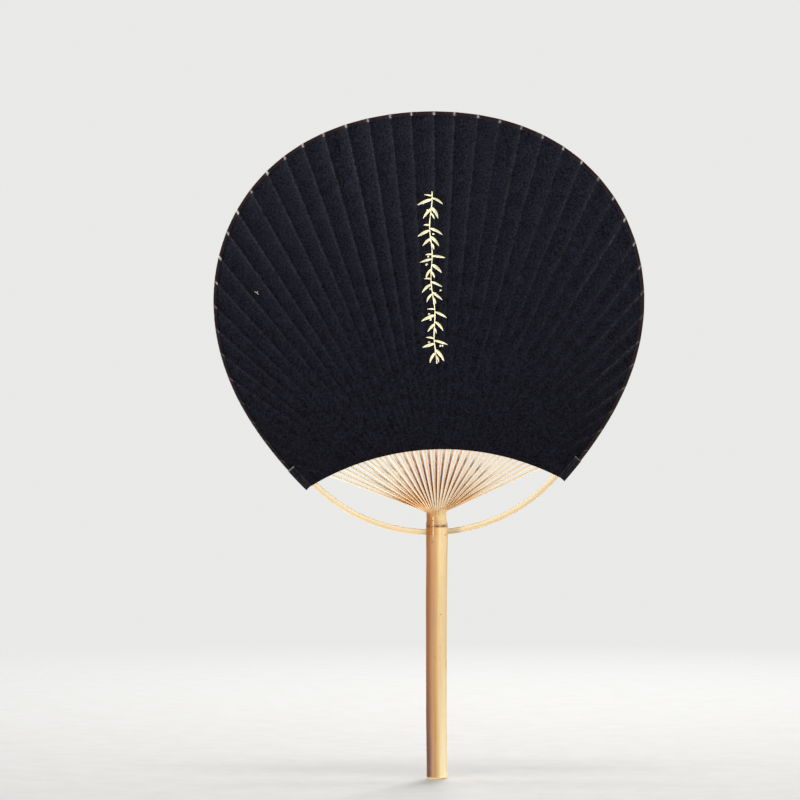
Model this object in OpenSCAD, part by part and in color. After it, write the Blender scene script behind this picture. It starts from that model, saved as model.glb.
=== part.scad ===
// Round paper hand fan on a whole bamboo cane. The upper end of the cane is split into ribs,
// a bamboo bow runs through the cane and carries the ends of a thread that spaces the ribs,
// and two leaves of paper are pasted over them. Sizes are in millimetres, +Z is up and the
// front of the fan faces -Y. The origin is on the cane's axis, halfway up the straight grip.
// The head has its own plane: u runs to the right, w up from the middle of the bow.

/* [Cane] */
// Diameter of the straight grip
grip_d = 12.1; // [10.6:0.1:15]
// Length of the straight grip
grip_length = 124; // [90:1:170]
// Length over which the cane swells, from the grip to the bow
swell_length = 18.4; // [12:0.1:30]
// Diameter of the cane at the bow
swell_d = 12.6; // [10.8:0.1:15.5]
// Diameter of the neck, where the ribs start
neck_d = 11.6; // [10.4:0.1:13.5]
// Length of the neck, from the bow to the start of the ribs
neck_length = 9.2; // [7:0.1:14]
// Bore of the cane
bore_d = 8.6; // [6:0.1:9.6]
// Height of the cane's node above the bow
node_height = 3.6; // [3:0.1:5]
// Thickness of the wall that closes the bore at the node
node_wall = 1.2; // [0.6:0.1:2]
// Height by which the ring of the node stands proud
node_proud = 0.25; // [0.1:0.05:0.8]
// Length of the plug in the lower end of the bore
plug_length = 26; // [8:1:60]
// Bevel on the edge of the lower end
butt_bevel = 0.5; // [0.2:0.1:1.5]

/* [Head outline] */
// Lean of the head to the left of the cane, in degrees
head_lean = 2; // [0:0.5:5]
// Height of the head's middle above the bow
head_height = 110.9; // [100:0.1:125]
// Mean radius of the head
head_r = 124.7; // [110:0.1:140]
// How much further from the middle the top lies than the mean
head_top = 11.6; // [6:0.1:16]
// How much taller than wide the head is, as a change of radius
head_oval = 2.4; // [0:0.1:5]
// Flattening of the shoulders
head_shoulder = 5.3; // [2:0.1:8]
// Height of the paper's lower edge above the bow, at the middle
window_height = 47.9; // [40:0.1:58]
// Radius of the arc of the paper's lower edge
window_r = 148.3; // [125:0.1:190]

/* [Ribs] */
// Number of ribs, an even number
rib_count = 42; // [30:2:46]
// Width of a rib at the paper's lower edge
rib_w = 1.5; // [0.8:0.1:1.8]
// Width of a rib where its bend is thinned, just above the neck
rib_neck_w = 0.75; // [0.5:0.05:1]
// Width of a rib at the rim
rib_tip_w = 1; // [0.6:0.1:1.6]
// Thickness of a rib above the neck
rib_t = 0.6; // [0.4:0.05:0.7]
// Thickness of a rib at the rim
rib_tip_t = 0.45; // [0.25:0.05:0.7]
// Gap between two ribs where they leave the neck
rib_root_gap = 0.06; // [0.03:0.01:0.15]
// Length of the bend by which a rib leaves the neck
knee_length = 2.4; // [1.5:0.1:4]
// Distance of the outermost ribs from the corners, along the paper's lower edge
corner_margin = 14.4; // [12:0.1:20]

/* [Bow and thread] */
// Radius of the bow at its middle
bow_r = 96; // [88:0.5:110]
// Height of the bow's ends above the corners of the paper
bow_rise = 6.6; // [5:0.1:9]
// Width of the bow, seen from the front
bow_w = 3.4; // [2:0.1:4.2]
// Thickness of the bow where it runs through the cane
bow_t = 2.2; // [1.2:0.1:3]
// Thickness of the bow at its ends
bow_tip_t = 0.7; // [0.4:0.05:1.2]
// Distance of the bow's ends from the corners
bow_margin = 1.5; // [0.5:0.1:3]
// Diameter of the weaving thread
thread_d = 0.24; // [0.1:0.02:0.4]
// Distance of the thread above the paper's lower edge
thread_inset = 4.2; // [2.5:0.1:8]
// Length of a lashing
lashing_length = 3; // [1.5:0.1:5]
// Thickness of the thread wound round the bow's end
lashing_t = 0.15; // [0.1:0.05:0.4]

/* [Paper] */
// Thickness of a leaf of paper
paper_t = 0.2; // [0.1:0.05:0.4]
// Thickness of the trim round the rim
trim_t = 0.2; // [0.1:0.05:0.4]
// Width of the trim on each side
trim_w = 2; // [1.2:0.1:3.5]
// Length of an ear
ear_length = 15.5; // [8:0.5:20]
// Width of an ear
ear_w = 4.1; // [3:0.1:6]
// Thickness of an ear
ear_t = 0.2; // [0.1:0.05:0.4]

/* [Hidden] */
$fn = 48;

cane_colour = "#e3bd82";
rib_colour = "#ecd09a";
willow_colour = "#c9b48c";
thread_colour = "#e8e0cc";
paper_colour = "#1d2029";
trim_colour = "#3b2622";

// Clearance between pasted or fitted faces
fit = 0.03;
// Clearance of the trim over the paper
trim_fit = 0.08;
// Clearance of the bow in its slot
slot_fit = 0.1;
// Small changes of the outline's radius with four and five lobes
outline_four = 0.4;
outline_five = -0.6;
// How much closer together the middle ribs lie than the outer ones
edge_crowding_ratio = 0.2;
rim_crowding_ratio = 0.1;
// Angle between the outermost ribs' tips and the corners, seen from the head's middle
tip_margin_angle = 11.5;
// Columns of the paper beyond the outermost ribs, as a share of the way to the corner
corner_steps = [0.25, 0.5, 0.75, 1];
// How far the last column stays from the corner itself
corner_gap = 0.5;
corner_gap_angle = 0.3;
// Straight start of a rib before its bend
knee_start = 1.2;
// Lengths over which a rib is thinned from the full wall of the cane and turns flat
thin_length = 5;
twist_length = 14;
// Distance past the thread by which a rib lies in the middle plane
settle_length = 22;
// How far a rib's tip stays from the edge of the paper
tip_gap = 0.3;
// Clearance of the thread from the ribs and the paper
thread_fit = 0.04;
// Half of the space between the leaves: over the bow's ends, where they meet, at the thread
swell_fit = 0.18;
swell = bow_tip_t / 2 + lashing_t + swell_fit;
glue_line = 0.02;
thread_room = thread_d / 2 + thread_fit;
// Clearance of the paper over the ribs where they still slope towards the thread
ridge_fit = 0.1;
// How far the paper's ridge reaches past a rib's edge
ridge_margin = 0.06;
// Share of a near rib's height to which the paper sinks between ribs at its lower edge
edge_sag_ratio = 0.45;
// Height of the cut of the node's ring, and of the slope above and below it
scar_h = 0.5;
brow_h = 1.4;
// How far the neck's foot stands out in the slope above the node
neck_foot = 0.1;
// How far an ear reaches past the corner, seen from the head's middle
ear_drop_angle = 0.3;
// Distance of a lashing from the bow's end
lashing_back = 1.2;
// Points along half of the bow
bow_steps = 30;
// Share of the way to the corner from which the leaves close over the bow's end
closing_share = 0.75;
// Where the rings of a rib lie on its straight stretch, as shares of it
straight_steps = [0.1, 0.3, 0.6];
// Small step for slopes
tiny = 0.01;

bow_z = grip_length / 2 + swell_length;
butt_z = -grip_length / 2;
stave_t = (neck_d - bore_d) / 2;
stave_r = (neck_d + bore_d) / 4;
stave_w = 2 * PI * stave_r / rib_count - rib_root_gap;
// A stave of the split cane is narrower at its inner face by this share of its width
stave_taper = PI * stave_t / rib_count / stave_w;
outer_stave = 90 - 180 / rib_count;
window_c = [0, window_height - window_r];
thread_r = window_r + thread_inset;
paper_inset = trim_t + fit;
corner_a = corner_angle(90, 170, 24);
corner = rim_point(corner_a, paper_inset);
corner_u = corner[0];
rib_reach = corner_u - corner_margin;
rib_spread = corner_a - tip_margin_angle;
bow_reach = corner_u - bow_margin;
// The bow keeps its full thickness as far as bow_full and thins evenly to bow_end
bow_full = swell_d * 0.8;
bow_end = bow_reach + bow_w;

function rib_name(i) = str("rib_", i < 10 ? "0" : "", i);
function mix(a, b, k) = a + (b - a) * k;
function smooth(k) = k <= 0 ? 0 : k >= 1 ? 1 : k * k * (3 - 2 * k);
function unit(v) = v / norm(v);
function cross2(a, b) = a[0] * b[1] - a[1] * b[0];

// The head's outline: a circle with small waves of its radius, a from the head's up axis
function outline_r(a) = head_r + head_top * cos(a) + head_oval * cos(2 * a)
    - head_shoulder * cos(3 * a) + outline_four * cos(4 * a) + outline_five * cos(5 * a);
function outline(a) = [0, head_height] + outline_r(a) * [sin(a), cos(a)];
function rim_normal(a) =
    let (d = outline(a + tiny) - outline(a - tiny)) unit([-d[1], d[0]]);
function rim_point(a, inset) = outline(a) - inset * rim_normal(a);

// Where the rim meets the lower edge, found by halving the angle between lo and hi
function corner_angle(lo, hi, n) =
    let (m = (lo + hi) / 2)
    n == 0 ? m
    : norm(rim_point(m, trim_t + fit) - window_c) > window_r ? corner_angle(m, hi, n - 1)
    : corner_angle(lo, m, n - 1);

function window_w(u) = window_c[1] + sqrt(window_r * window_r - u * u);

// A rib's place t runs from -1 at the left to 1 at the right, and on to the corners
function rib_t_at(i) = (2 * i - rib_count - 1) / (rib_count - 1);
function edge_u(t) = abs(t) <= 1
    ? rib_reach * (t * (1 - edge_crowding_ratio) + edge_crowding_ratio * pow(t, 3))
    : sign(t) * mix(rib_reach, corner_u - corner_gap, abs(t) - 1);
function rim_a(t) = abs(t) <= 1
    ? rib_spread * (t * (1 - rim_crowding_ratio) + rim_crowding_ratio * pow(t, 3))
    : sign(t) * mix(rib_spread, corner_a - corner_gap_angle, abs(t) - 1);
function edge_point(t) = [edge_u(t), window_w(edge_u(t))];
function stave_angle(i) = -90 + (floor((i - 1) / 2) + 0.5) * 360 / rib_count;
function stave_angle_at(t) = outer_stave * max(-1, min(1, t));

// The bend: an arc of the given length, tangent to the cane and to the straight rib
function knee_r(t) = let (p = edge_point(t) - [0, neck_length])
    knee_length / (max(atan2(abs(p[0]), p[1]), 0.5) * PI / 180);
function knee_c(t, x) = [abs(x) + knee_r(t), neck_length + knee_start];
function rib_dir(t, x) =
    let (p = edge_point(t), d = [abs(p[0]), p[1]] - knee_c(t, x))
    sign(t) * (atan2(d[0], d[1]) + asin(knee_r(t) / norm(d)));
function knee_point(t, x, a) = let (c = knee_c(t, x), r = knee_r(t))
    [sign(t) * (c[0] - r * cos(a)), c[1] + r * sin(abs(a))];
function aim(t) = rib_dir(t, stave_r * sin(stave_angle_at(t)));

// A rib under the paper: a curve from the lower edge to the rim that starts straight on
function rib_curve(t, v) =
    let (p = edge_point(t), q = rim_point(rim_a(t), paper_inset),
        c = p + norm(q - p) / 2 * [sin(aim(t)), cos(aim(t))])
    p * (1 - v) * (1 - v) + c * 2 * v * (1 - v) + q * v * v;
function rib_length(t) = norm(rib_curve(t, 1) - rib_curve(t, 0));
function thread_way(t) = thread_inset / cos(aim(t) - asin(edge_u(t) / window_r));
function rows(t) =
    let (n = rib_length(t), v1 = min(0.3, thread_way(t) / n),
        v2 = min(v1 + settle_length / n, mix(v1, 1, 0.5)))
    [0, v1, v2, mix(v2, 1, 1 / 3), mix(v2, 1, 2 / 3), 1];

// Depth of a rib from the middle plane: a strip held upright at the cane, bent to the thread
function lower_length(t, x) = let (a = abs(rib_dir(t, x)))
    knee_start + knee_r(t) * a * PI / 180 + norm(edge_point(t) - knee_point(t, x, a));
function strip_bend(k) = (3 * k * k - k * k * k) / 2;
function depth_low(t, x, y, s) =
    mix(y, thread_depth(), strip_bend(s / (lower_length(t, x) + thread_way(t))));
function thread_depth() = rib_t / 2 + thread_room + thread_fit;
function edge_depth(t) = let (b = stave_angle_at(t), x = stave_r * sin(b))
    depth_low(t, x, stave_r * cos(b), lower_length(t, x));
function rib_depth(t, row) = [edge_depth(t), thread_depth(), 0, 0, 0, 0][row];
function rib_half_w(v) = mix(rib_w, rib_tip_w, v) / 2;
function rib_half_t(v) = mix(rib_t, rib_tip_t, v) / 2;

// Solids from rings of points and from two grids of points
function ring_faces(rings, n) = [for (r = [0 : rings - 2]) for (k = [0 : n - 1])
    let (a = r * n + k, b = r * n + (k + 1) % n)
    each k < n / 2 ? [[a, a + n, b], [b, a + n, b + n]] : [[a, b + n, b], [a, a + n, b + n]]];
function flip(faces) = [for (f = faces) [f[2], f[1], f[0]]];
function shift(faces, by) = [for (f = faces) [for (p = f) p + by]];
module ring_solid(rings, cap) {
    n = len(rings[0]);
    points = [for (ring = rings) each ring];
    last = (len(rings) - 1) * n;
    polyhedron(points, concat(ring_faces(len(rings), n), cap, shift(flip(cap), last)));
}
function grid_faces(rows, cols) = [for (r = [0 : rows - 2]) for (c = [0 : cols - 2])
    let (a = r * cols + c) each [[a, a + cols, a + 1], [a + 1, a + cols, a + cols + 1]]];
function wall_faces(edge, off) = [for (k = [0 : len(edge) - 2])
    let (a = edge[k], b = edge[k + 1]) each [[a, b, a + off], [b, b + off, a + off]]];
module leaf_solid(outer, inner) {
    rows = len(outer);
    cols = len(outer[0]);
    off = rows * cols;
    edge = concat([for (c = [0 : cols - 1]) c], [for (r = [1 : rows - 1]) r * cols + cols - 1],
        [for (c = [cols - 2 : -1 : 0]) (rows - 1) * cols + c],
        [for (r = [rows - 2 : -1 : 0]) r * cols]);
    faces = grid_faces(rows, cols);
    points = concat([for (row = outer) each row], [for (row = inner) each row]);
    polyhedron(points, concat(faces, shift(flip(faces), off), wall_faces(edge, off)));
}

module in_head() { translate([0, 0, bow_z]) rotate([0, -head_lean, 0]) children(); }
module in_plane(depth) { rotate([90, 0, 0]) linear_extrude(depth, center = true) children(); }

// The bow's centre line: a parabola at its middle, bent up more and more to end by the corners
bow_lift = corner[1] + bow_rise - bow_reach * bow_reach / (2 * bow_r);
function bow_line(u) = [u, u * u / (2 * bow_r) + bow_lift * pow(abs(u) / bow_reach, 5)];
function bow_slope(u) =
    atan(u / bow_r + sign(u) * 5 * bow_lift / bow_reach * pow(abs(u) / bow_reach, 4));
function bow_edge(u, off) = bow_line(u) + off * [-sin(bow_slope(u)), cos(bow_slope(u))];

// The bow's outline as seen from the front, wider by grow on each side
module bow_band(grow) {
    half = bow_w / 2 + grow;
    polygon(concat([for (k = [-bow_steps : bow_steps]) bow_edge(bow_reach * k / bow_steps, -half)],
        [for (k = [bow_steps : -1 : -bow_steps]) bow_edge(bow_reach * k / bow_steps, half)]));
}

// The straight cane, from its cut end up to the node. The grip is a plain cylinder.
module cane_outside() {
    grip_r = grip_d / 2;
    swell_r = swell_d / 2;
    node_z = bow_z + node_height;
    steps = 5;
    rotate_extrude() polygon(concat(
        [[0, butt_z], [grip_r - butt_bevel, butt_z], [grip_r, butt_z + butt_bevel],
            [grip_r, -butt_z]],
        [for (k = [1 : steps]) [mix(grip_r, swell_r, smooth(k / steps)),
            mix(-butt_z, bow_z, k / steps)]],
        [[swell_r, node_z - brow_h], [swell_r + node_proud, node_z - scar_h],
            [swell_r - node_proud, node_z], [swell_r, node_z + scar_h],
            [(swell_d + neck_d) / 4 + neck_foot, node_z + brow_h], [0, node_z + brow_h]]));
}

// The neck leans with the head from the node on
module handle() {
    color(cane_colour) difference() {
        union() {
            cane_outside();
            in_head() translate([0, 0, node_height])
                cylinder(d = neck_d, h = neck_length - node_height);
        }
        translate([0, 0, butt_z - 1])
            cylinder(d = bore_d, h = bow_z + node_height - node_wall / 2 - butt_z + 1);
        in_head() translate([0, 0, node_height + node_wall / 2])
            cylinder(d = bore_d, h = neck_length);
        in_head() in_plane(bow_t + 2 * slot_fit) bow_band(slot_fit);
    }
}

module handle_plug() {
    color(willow_colour) translate([0, 0, butt_z])
        cylinder(d = bore_d - 2 * fit, h = plug_length);
}

module bow() {
    color(cane_colour) in_head() intersection() {
        in_plane(bow_t) bow_band(0);
        translate([0, 0, -bow_r]) linear_extrude(3 * bow_r) polygon([
            [-bow_end, -bow_tip_t / 2], [-bow_full, -bow_t / 2], [bow_full, -bow_t / 2],
            [bow_end, -bow_tip_t / 2], [bow_end, bow_tip_t / 2], [bow_full, bow_t / 2],
            [-bow_full, bow_t / 2], [-bow_end, bow_tip_t / 2]]);
    }
}

// A lashing sits on the bow just inside its end, and the thread starts beside it
lashing_u = bow_reach - (lashing_length / 2 + lashing_back) * cos(bow_slope(bow_reach));
lashing_slope = bow_slope(lashing_u);
lashing_dir = [cos(lashing_slope), sin(lashing_slope)];
lashing_start = lashing_u - lashing_length / 2 * lashing_dir[0];
lashing_half_t = mix(bow_tip_t, bow_t, (bow_end - lashing_start) / (bow_end - bow_full)) / 2 + fit;
lashing_half_w = bow_w / 2 + fit;
// The thread ends where its arc meets the upper face of the lashing
lashing_top = bow_edge(lashing_u, lashing_half_w + lashing_t) - window_c;
thread_end = let (b = lashing_top * lashing_dir) lashing_top
    + (sqrt(b * b - lashing_top * lashing_top + thread_r * thread_r) - b) * lashing_dir;
thread_end_a = atan2(thread_end[0], thread_end[1]) - (thread_d / 2 + fit) / thread_r * 180 / PI;

module weaving_thread() {
    color(thread_colour) in_head() translate([0, 0, window_c[1]]) rotate([90, 0, 0])
        rotate([0, 0, 90 - thread_end_a]) rotate_extrude(angle = 2 * thread_end_a)
        translate([thread_r, 0]) circle(d = thread_d, $fn = 16);
}

module lashing(side) {
    middle = bow_line(side * lashing_u);
    color(thread_colour) in_head() translate([middle[0], 0, middle[1]])
        rotate([0, -side * lashing_slope, 0]) difference() {
            cube([lashing_length, 2 * (lashing_half_t + lashing_t),
                2 * (lashing_half_w + lashing_t)], center = true);
            cube([lashing_length + 1, 2 * lashing_half_t, 2 * lashing_half_w], center = true);
        }
}
module lashing_left() { lashing(-1); }
module lashing_right() { lashing(1); }

// Four corners across a rib at the plane point p, for a rib that heads a degrees from up.
// taper makes the rectangle a stave: wider on one side across w, then across t.
function rib_ring(p, y, a, turn, half_w, half_t, taper = [0, 0]) =
    let (n = [cos(a), 0, -sin(a)], e1 = cos(turn) * n + [0, sin(turn), 0],
        e2 = [0, cos(turn), 0] - sin(turn) * n)
    [for (c = [[1, 1], [-1, 1], [-1, -1], [1, -1]])
        [p[0], y, p[1]] + c[0] * half_w * (1 - taper[0] * c[1]) * e1
        + c[1] * half_t * (1 + taper[1] * c[0]) * e2];

// A rib in front of the middle plane, built for the place t and the stave's angle b
module rib_solid(t, b) {
    x = stave_r * sin(b);
    y = stave_r * cos(b);
    side_stave = abs(b) > 45;
    turn = side_stave ? b - 90 * sign(b) : b;
    root_w = (side_stave ? stave_t : stave_w) / 2;
    root_t = (side_stave ? stave_w : stave_t) / 2;
    dir = rib_dir(t, x);
    bend = knee_r(t) * abs(dir) * PI / 180;
    low = lower_length(t, x);
    run = low - knee_start - bend;
    knee_steps = 3;
    vs = rows(t);
    end_dir = unit(rib_curve(t, 1) - rib_curve(t, 1 - tiny));
    slant = tan(acos(end_dir * rim_normal(rim_a(t))));
    tip = 1 - (tip_gap + rib_tip_w / 2 * slant) / rib_length(t);
    taper = side_stave ? [0, stave_taper * sign(b)] : [stave_taper, 0];
    function half_w_low(s) = s < thin_length
        ? mix(root_w, rib_neck_w / 2, smooth(s / thin_length))
        : mix(rib_neck_w, rib_w, (s - thin_length) / (low - thin_length)) / 2;
    function ring_low(p, a, s) = rib_ring(p, -depth_low(t, x, y, s), a,
        turn * (1 - smooth(s / twist_length)), half_w_low(s),
        mix(root_t, rib_t / 2, smooth(s / thin_length)),
        taper * (1 - smooth(s / thin_length)));
    function ring_high(row) = let (v = min(vs[row], tip), d = rib_curve(t, v + tiny)
        - rib_curve(t, v - tiny)) rib_ring(rib_curve(t, v), -rib_depth(t, row),
        atan2(d[0], d[1]), 0, rib_half_w(v), rib_half_t(v));
    bent = knee_point(t, x, dir);
    rings = concat(
        [ring_low([x, neck_length + fit], 0, 0)],
        [for (k = [0 : knee_steps]) let (a = dir * k / knee_steps)
            ring_low(knee_point(t, x, a), a, knee_start + bend * k / knee_steps)],
        [for (k = straight_steps) ring_low(mix(bent, edge_point(t), k), dir,
            knee_start + bend + run * k)],
        [for (row = [0 : 5]) ring_high(row)]);
    color(rib_colour) in_head() ring_solid(rings, [[0, 1, 2], [0, 2, 3]]);
}

// Odd ribs come from the cane's front half and even ones from its back half
module rib(i) {
    mirror([0, i % 2 == 1 ? 0 : 1, 0]) rib_solid(rib_t_at(i), stave_angle(i));
}

// The paper's columns: both edges of each rib, the middle between ribs, and the corners.
// A column is [t, side of its rib or 0, is it a near rib].
function paper_columns(near) = concat(
    [for (k = [len(corner_steps) - 1 : -1 : 0]) [-1 - corner_steps[k], 0, false]],
    [for (i = [1 : rib_count]) each concat(
        [[rib_t_at(i), -1, i % 2 == near], [rib_t_at(i), 1, i % 2 == near]],
        i < rib_count ? [[rib_t_at(i + 0.5), 0, false]] : [])],
    [for (k = corner_steps) [1 + k, 0, false]]);

// The spread of the columns is taken a little way in from a rib, short of the outermost one
inward = 0.985;
function spread_at(t, v) =
    let (k = max(min(v, 1 - tiny), tiny), d = rib_curve(t, k + tiny) - rib_curve(t, k - tiny))
    abs(cross2(rib_curve(t + tiny, v) - rib_curve(t - tiny, v), unit(d))) / (2 * tiny);
function column_point(col, v) = col[1] == 0 ? rib_curve(col[0], v)
    : rib_curve(col[0] + col[1] * (rib_half_w(v) + ridge_margin) / spread_at(col[0] * inward, v), v);

// Half of the space between the leaves in one column and row
function room(col, row) =
    let (t = col[0], half = rib_half_t(rows(t)[row]) + glue_line,
        sag = edge_sag_ratio * (edge_depth(t) + rib_t / 2))
    abs(t) > 1 ? (row == 5 ? rib_tip_t / 2 + glue_line : corner_room(abs(t) - 1))
    : col[1] != 0 && row > 1 ? half
    : col[2] ? rib_depth(t, row) + half + ridge_fit
    : row == 0 ? sag
    : row == 1 ? thread_room
    : row == 5 ? half
    : glue_line;
function corner_room(k) = mix(swell, rib_tip_t / 2 + glue_line,
    smooth((k - closing_share) / (1 - closing_share)));

function leaf_row(near, row, extra) = [for (col = paper_columns(near))
    let (p = column_point(col, rows(col[0])[row])) [p[0], -room(col, row) - extra, p[1]]];

module leaf(near) {
    outer = [for (row = [0 : 5]) leaf_row(near, row, paper_t)];
    inner = [for (row = [0 : 5]) leaf_row(near, row, 0)];
    color(paper_colour) leaf_solid(outer, inner);
}
module front_paper() { in_head() leaf(1); }
module back_paper() { in_head() mirror([0, 1, 0]) leaf(0); }

// The trim: a strip folded over the rim, in the same columns as the paper
function trim_ring(col) =
    let (t = col[0], vs = rows(t), n = rim_normal(rim_a(t)),
        q = column_point(col, 1), p4 = column_point(col, vs[4]), long = norm(q - p4),
        k = min(1, trim_w / max(0.2, (q - p4) / long * n) / long),
        p = mix(q, p4, k), y5 = room(col, 5) + paper_t + trim_fit,
        y4 = mix(y5, room(col, 4) + paper_t + trim_fit, k),
        out = q + n * (fit + trim_t), web = q + n * fit)
    [[out[0], -y5 - trim_t, out[1]], [p[0], -y4 - trim_t, p[1]], [p[0], -y4, p[1]],
        [web[0], -y5, web[1]], [web[0], y5, web[1]], [p[0], y4, p[1]],
        [p[0], y4 + trim_t, p[1]], [out[0], y5 + trim_t, out[1]]];

module edge_trim() {
    color(trim_colour) in_head() ring_solid([for (col = paper_columns(1)) trim_ring(col)],
        [[0, 1, 2], [0, 2, 3], [0, 3, 4], [0, 4, 7], [7, 4, 5], [7, 5, 6]]);
}

// An ear: a strip folded round the lowest stretch of the rim, with a flap on each face
module ear_strip(from, to, a0, a1) {
    steps = 6;
    polygon(concat([for (k = [0 : steps]) rim_point(mix(a0, a1, k / steps), from)],
        [for (k = [steps : -1 : 0]) rim_point(mix(a0, a1, k / steps), to)]));
}
module ear(side) {
    low = corner_a + ear_drop_angle;
    high = low - ear_length / outline_r(corner_a) * 180 / PI;
    inside = swell + paper_t + trim_fit + trim_t + 2 * fit;
    color(paper_colour) in_head() mirror([side > 0 ? 0 : 1, 0, 0]) difference() {
        in_plane(2 * (inside + ear_t)) ear_strip(-fit - ear_t, ear_w, high, low);
        in_plane(2 * inside) ear_strip(-fit, ear_w + 1, high - 1, low + 1);
    }
}
module ear_left() { ear(-1); }
module ear_right() { ear(1); }

handle();
handle_plug();
bow();
weaving_thread();
lashing_left();
lashing_right();
for (i = [1 : rib_count]) rib(i);
front_paper();
back_paper();
edge_trim();
ear_left();
ear_right();
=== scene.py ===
import math

import bpy
import numpy as np
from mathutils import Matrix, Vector


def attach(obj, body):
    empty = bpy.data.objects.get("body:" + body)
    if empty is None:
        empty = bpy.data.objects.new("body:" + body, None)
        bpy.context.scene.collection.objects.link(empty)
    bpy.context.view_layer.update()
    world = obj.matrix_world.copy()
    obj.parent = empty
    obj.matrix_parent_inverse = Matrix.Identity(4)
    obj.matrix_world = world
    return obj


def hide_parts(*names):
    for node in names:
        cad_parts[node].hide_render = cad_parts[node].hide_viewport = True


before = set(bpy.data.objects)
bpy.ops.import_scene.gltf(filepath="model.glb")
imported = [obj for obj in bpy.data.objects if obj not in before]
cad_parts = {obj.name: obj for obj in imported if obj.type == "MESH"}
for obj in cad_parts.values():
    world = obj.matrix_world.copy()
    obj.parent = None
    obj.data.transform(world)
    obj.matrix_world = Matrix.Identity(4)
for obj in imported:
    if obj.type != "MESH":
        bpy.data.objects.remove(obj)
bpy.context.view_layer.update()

# A round paper fan on a split bamboo cane. Lengths are in millimetres until a mesh is made.
# The head has its own plane: u runs to the right and w up from the middle of the bow.
MM = 0.001
TURN = 2 * math.pi

# The cane
BUTT_Z = -62
GRIP_TOP = 62
BOW_Z = 80.4
GRIP_R = 6.05
GRIP_TAPER = 0.14
SWELL_R = 6.3
NECK_R = 5.8
NECK_LENGTH = 9.2
BORE_R = 4.3
NODE_HEIGHT = 3.6
NODE_WALL = 1.2
BUTT_BEVEL = 0.5

# The head's outline
LEAN = math.radians(2)
HEAD_HEIGHT = 110.9
HEAD_R = 124.7
OUTLINE_WAVES = (11.6, 2.4, -5.3, 0.4, -0.6)
WINDOW_HEIGHT = 47.9
WINDOW_R = 148.3
PAPER_INSET = 0.23

# The ribs
RIB_COUNT = 42
RIB_W = 1.5
RIB_NECK_W = 0.75
RIB_TIP_W = 1.0
RIB_T = 0.6
RIB_TIP_T = 0.45
RIB_ROOT_GAP = 0.06
KNEE_LENGTH = 2.4
KNEE_START = 1.2
THIN_LENGTH = 5
TWIST_LENGTH = 14
CORNER_MARGIN = 14.4
TIP_MARGIN = math.radians(11.5)
TIP_GAP = 0.3
EDGE_CROWDING = 0.2
RIM_CROWDING = 0.1
RIB_UNEVENNESS = 0.05

# The bow and the thread
BOW_R = 96
BOW_RISE = 6.6
BOW_W = 3.4
BOW_T = 2.2
BOW_TIP_T = 0.7
BOW_MARGIN = 1.5
SLOT_FIT = 0.1
THREAD_D = 0.24
THREAD_INSET = 4.2
LASHING_U = 71.7
LASHING_LENGTH = 3
LASHING_TURNS = 11
LASHING_D = 0.18

# The paper
PAPER_T = 0.2
TRIM_T = 0.2
TRIM_W = 2
TRIM_FIT = 0.08
EAR_LENGTH = 15.5
EAR_W = 4.1
EAR_T = 0.2

random = np.random.default_rng(4217)


def mix(a, b, k):
    """The value at the share k of the way from a to b."""
    return a + (b - a) * k


def smooth(k):
    """k from 0 to 1, flat at both ends: 3 k squared less 2 k cubed."""
    k = np.clip(k, 0, 1)
    return k * k * (3 - 2 * k)


def bell(x, half):
    """A bell curve of x that is 1 at zero and falls to 0.37 at half."""
    return np.exp(-((x / half) ** 2))


def by_table(x, table):
    """A table's value at x, evenly between the places in it."""
    return np.interp(x, *np.transpose(table))


def in_head(u, y, w):
    """Points of the leaning head: u and w turned by the lean about the middle of the bow."""
    x = u * math.cos(LEAN) - w * math.sin(LEAN)
    z = BOW_Z + u * math.sin(LEAN) + w * math.cos(LEAN)
    return np.stack(np.broadcast_arrays(x, y, z), -1)


# The head's curves, each a function of whole arrays


def outline(a):
    """The rim at the angle a from the head's up axis: a circle with five cosine waves."""
    r = HEAD_R + sum(wave * np.cos((n + 1) * a) for n, wave in enumerate(OUTLINE_WAVES))
    return r * np.sin(a), HEAD_HEIGHT + r * np.cos(a)


def rim_normal(a):
    """The outline's outward normal: the step to the next point, turned a quarter to the left."""
    step = 1e-4
    u0, w0 = outline(a - step)
    u1, w1 = outline(a + step)
    long = np.hypot(u1 - u0, w1 - w0)
    return (w0 - w1) / long, (u1 - u0) / long


def rim_point(a, inset):
    """The outline moved inwards along its normal."""
    u, w = outline(a)
    nu, nw = rim_normal(a)
    return u - inset * nu, w - inset * nw


def window_w(u):
    """Height of the paper's lower edge, an arc of a circle."""
    return WINDOW_HEIGHT - WINDOW_R + np.sqrt(WINDOW_R**2 - u * u)


def corner_angle():
    """The angle at which the rim meets the lower edge, by halving."""
    low, high = math.radians(90), math.radians(170)
    for _ in range(30):
        middle = (low + high) / 2
        u, w = rim_point(middle, PAPER_INSET)
        outside = math.hypot(u, w - WINDOW_HEIGHT + WINDOW_R) > WINDOW_R
        low, high = (middle, high) if outside else (low, middle)
    return low


CORNER_A = corner_angle()
CORNER_U, CORNER_W = rim_point(CORNER_A, PAPER_INSET)
RIB_REACH = CORNER_U - CORNER_MARGIN
RIB_SPREAD = CORNER_A - TIP_MARGIN
BOW_REACH = CORNER_U - BOW_MARGIN
STAVE_T = NECK_R - BORE_R
STAVE_R = (NECK_R + BORE_R) / 2
STAVE_W = TURN * STAVE_R / RIB_COUNT - RIB_ROOT_GAP
STAVE_TAPER = math.pi * STAVE_T / RIB_COUNT / STAVE_W
OUTER_STAVE = math.pi / 2 - math.pi / RIB_COUNT
CORNER_GAP = 0.5
CORNER_GAP_A = math.radians(0.3)


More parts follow.
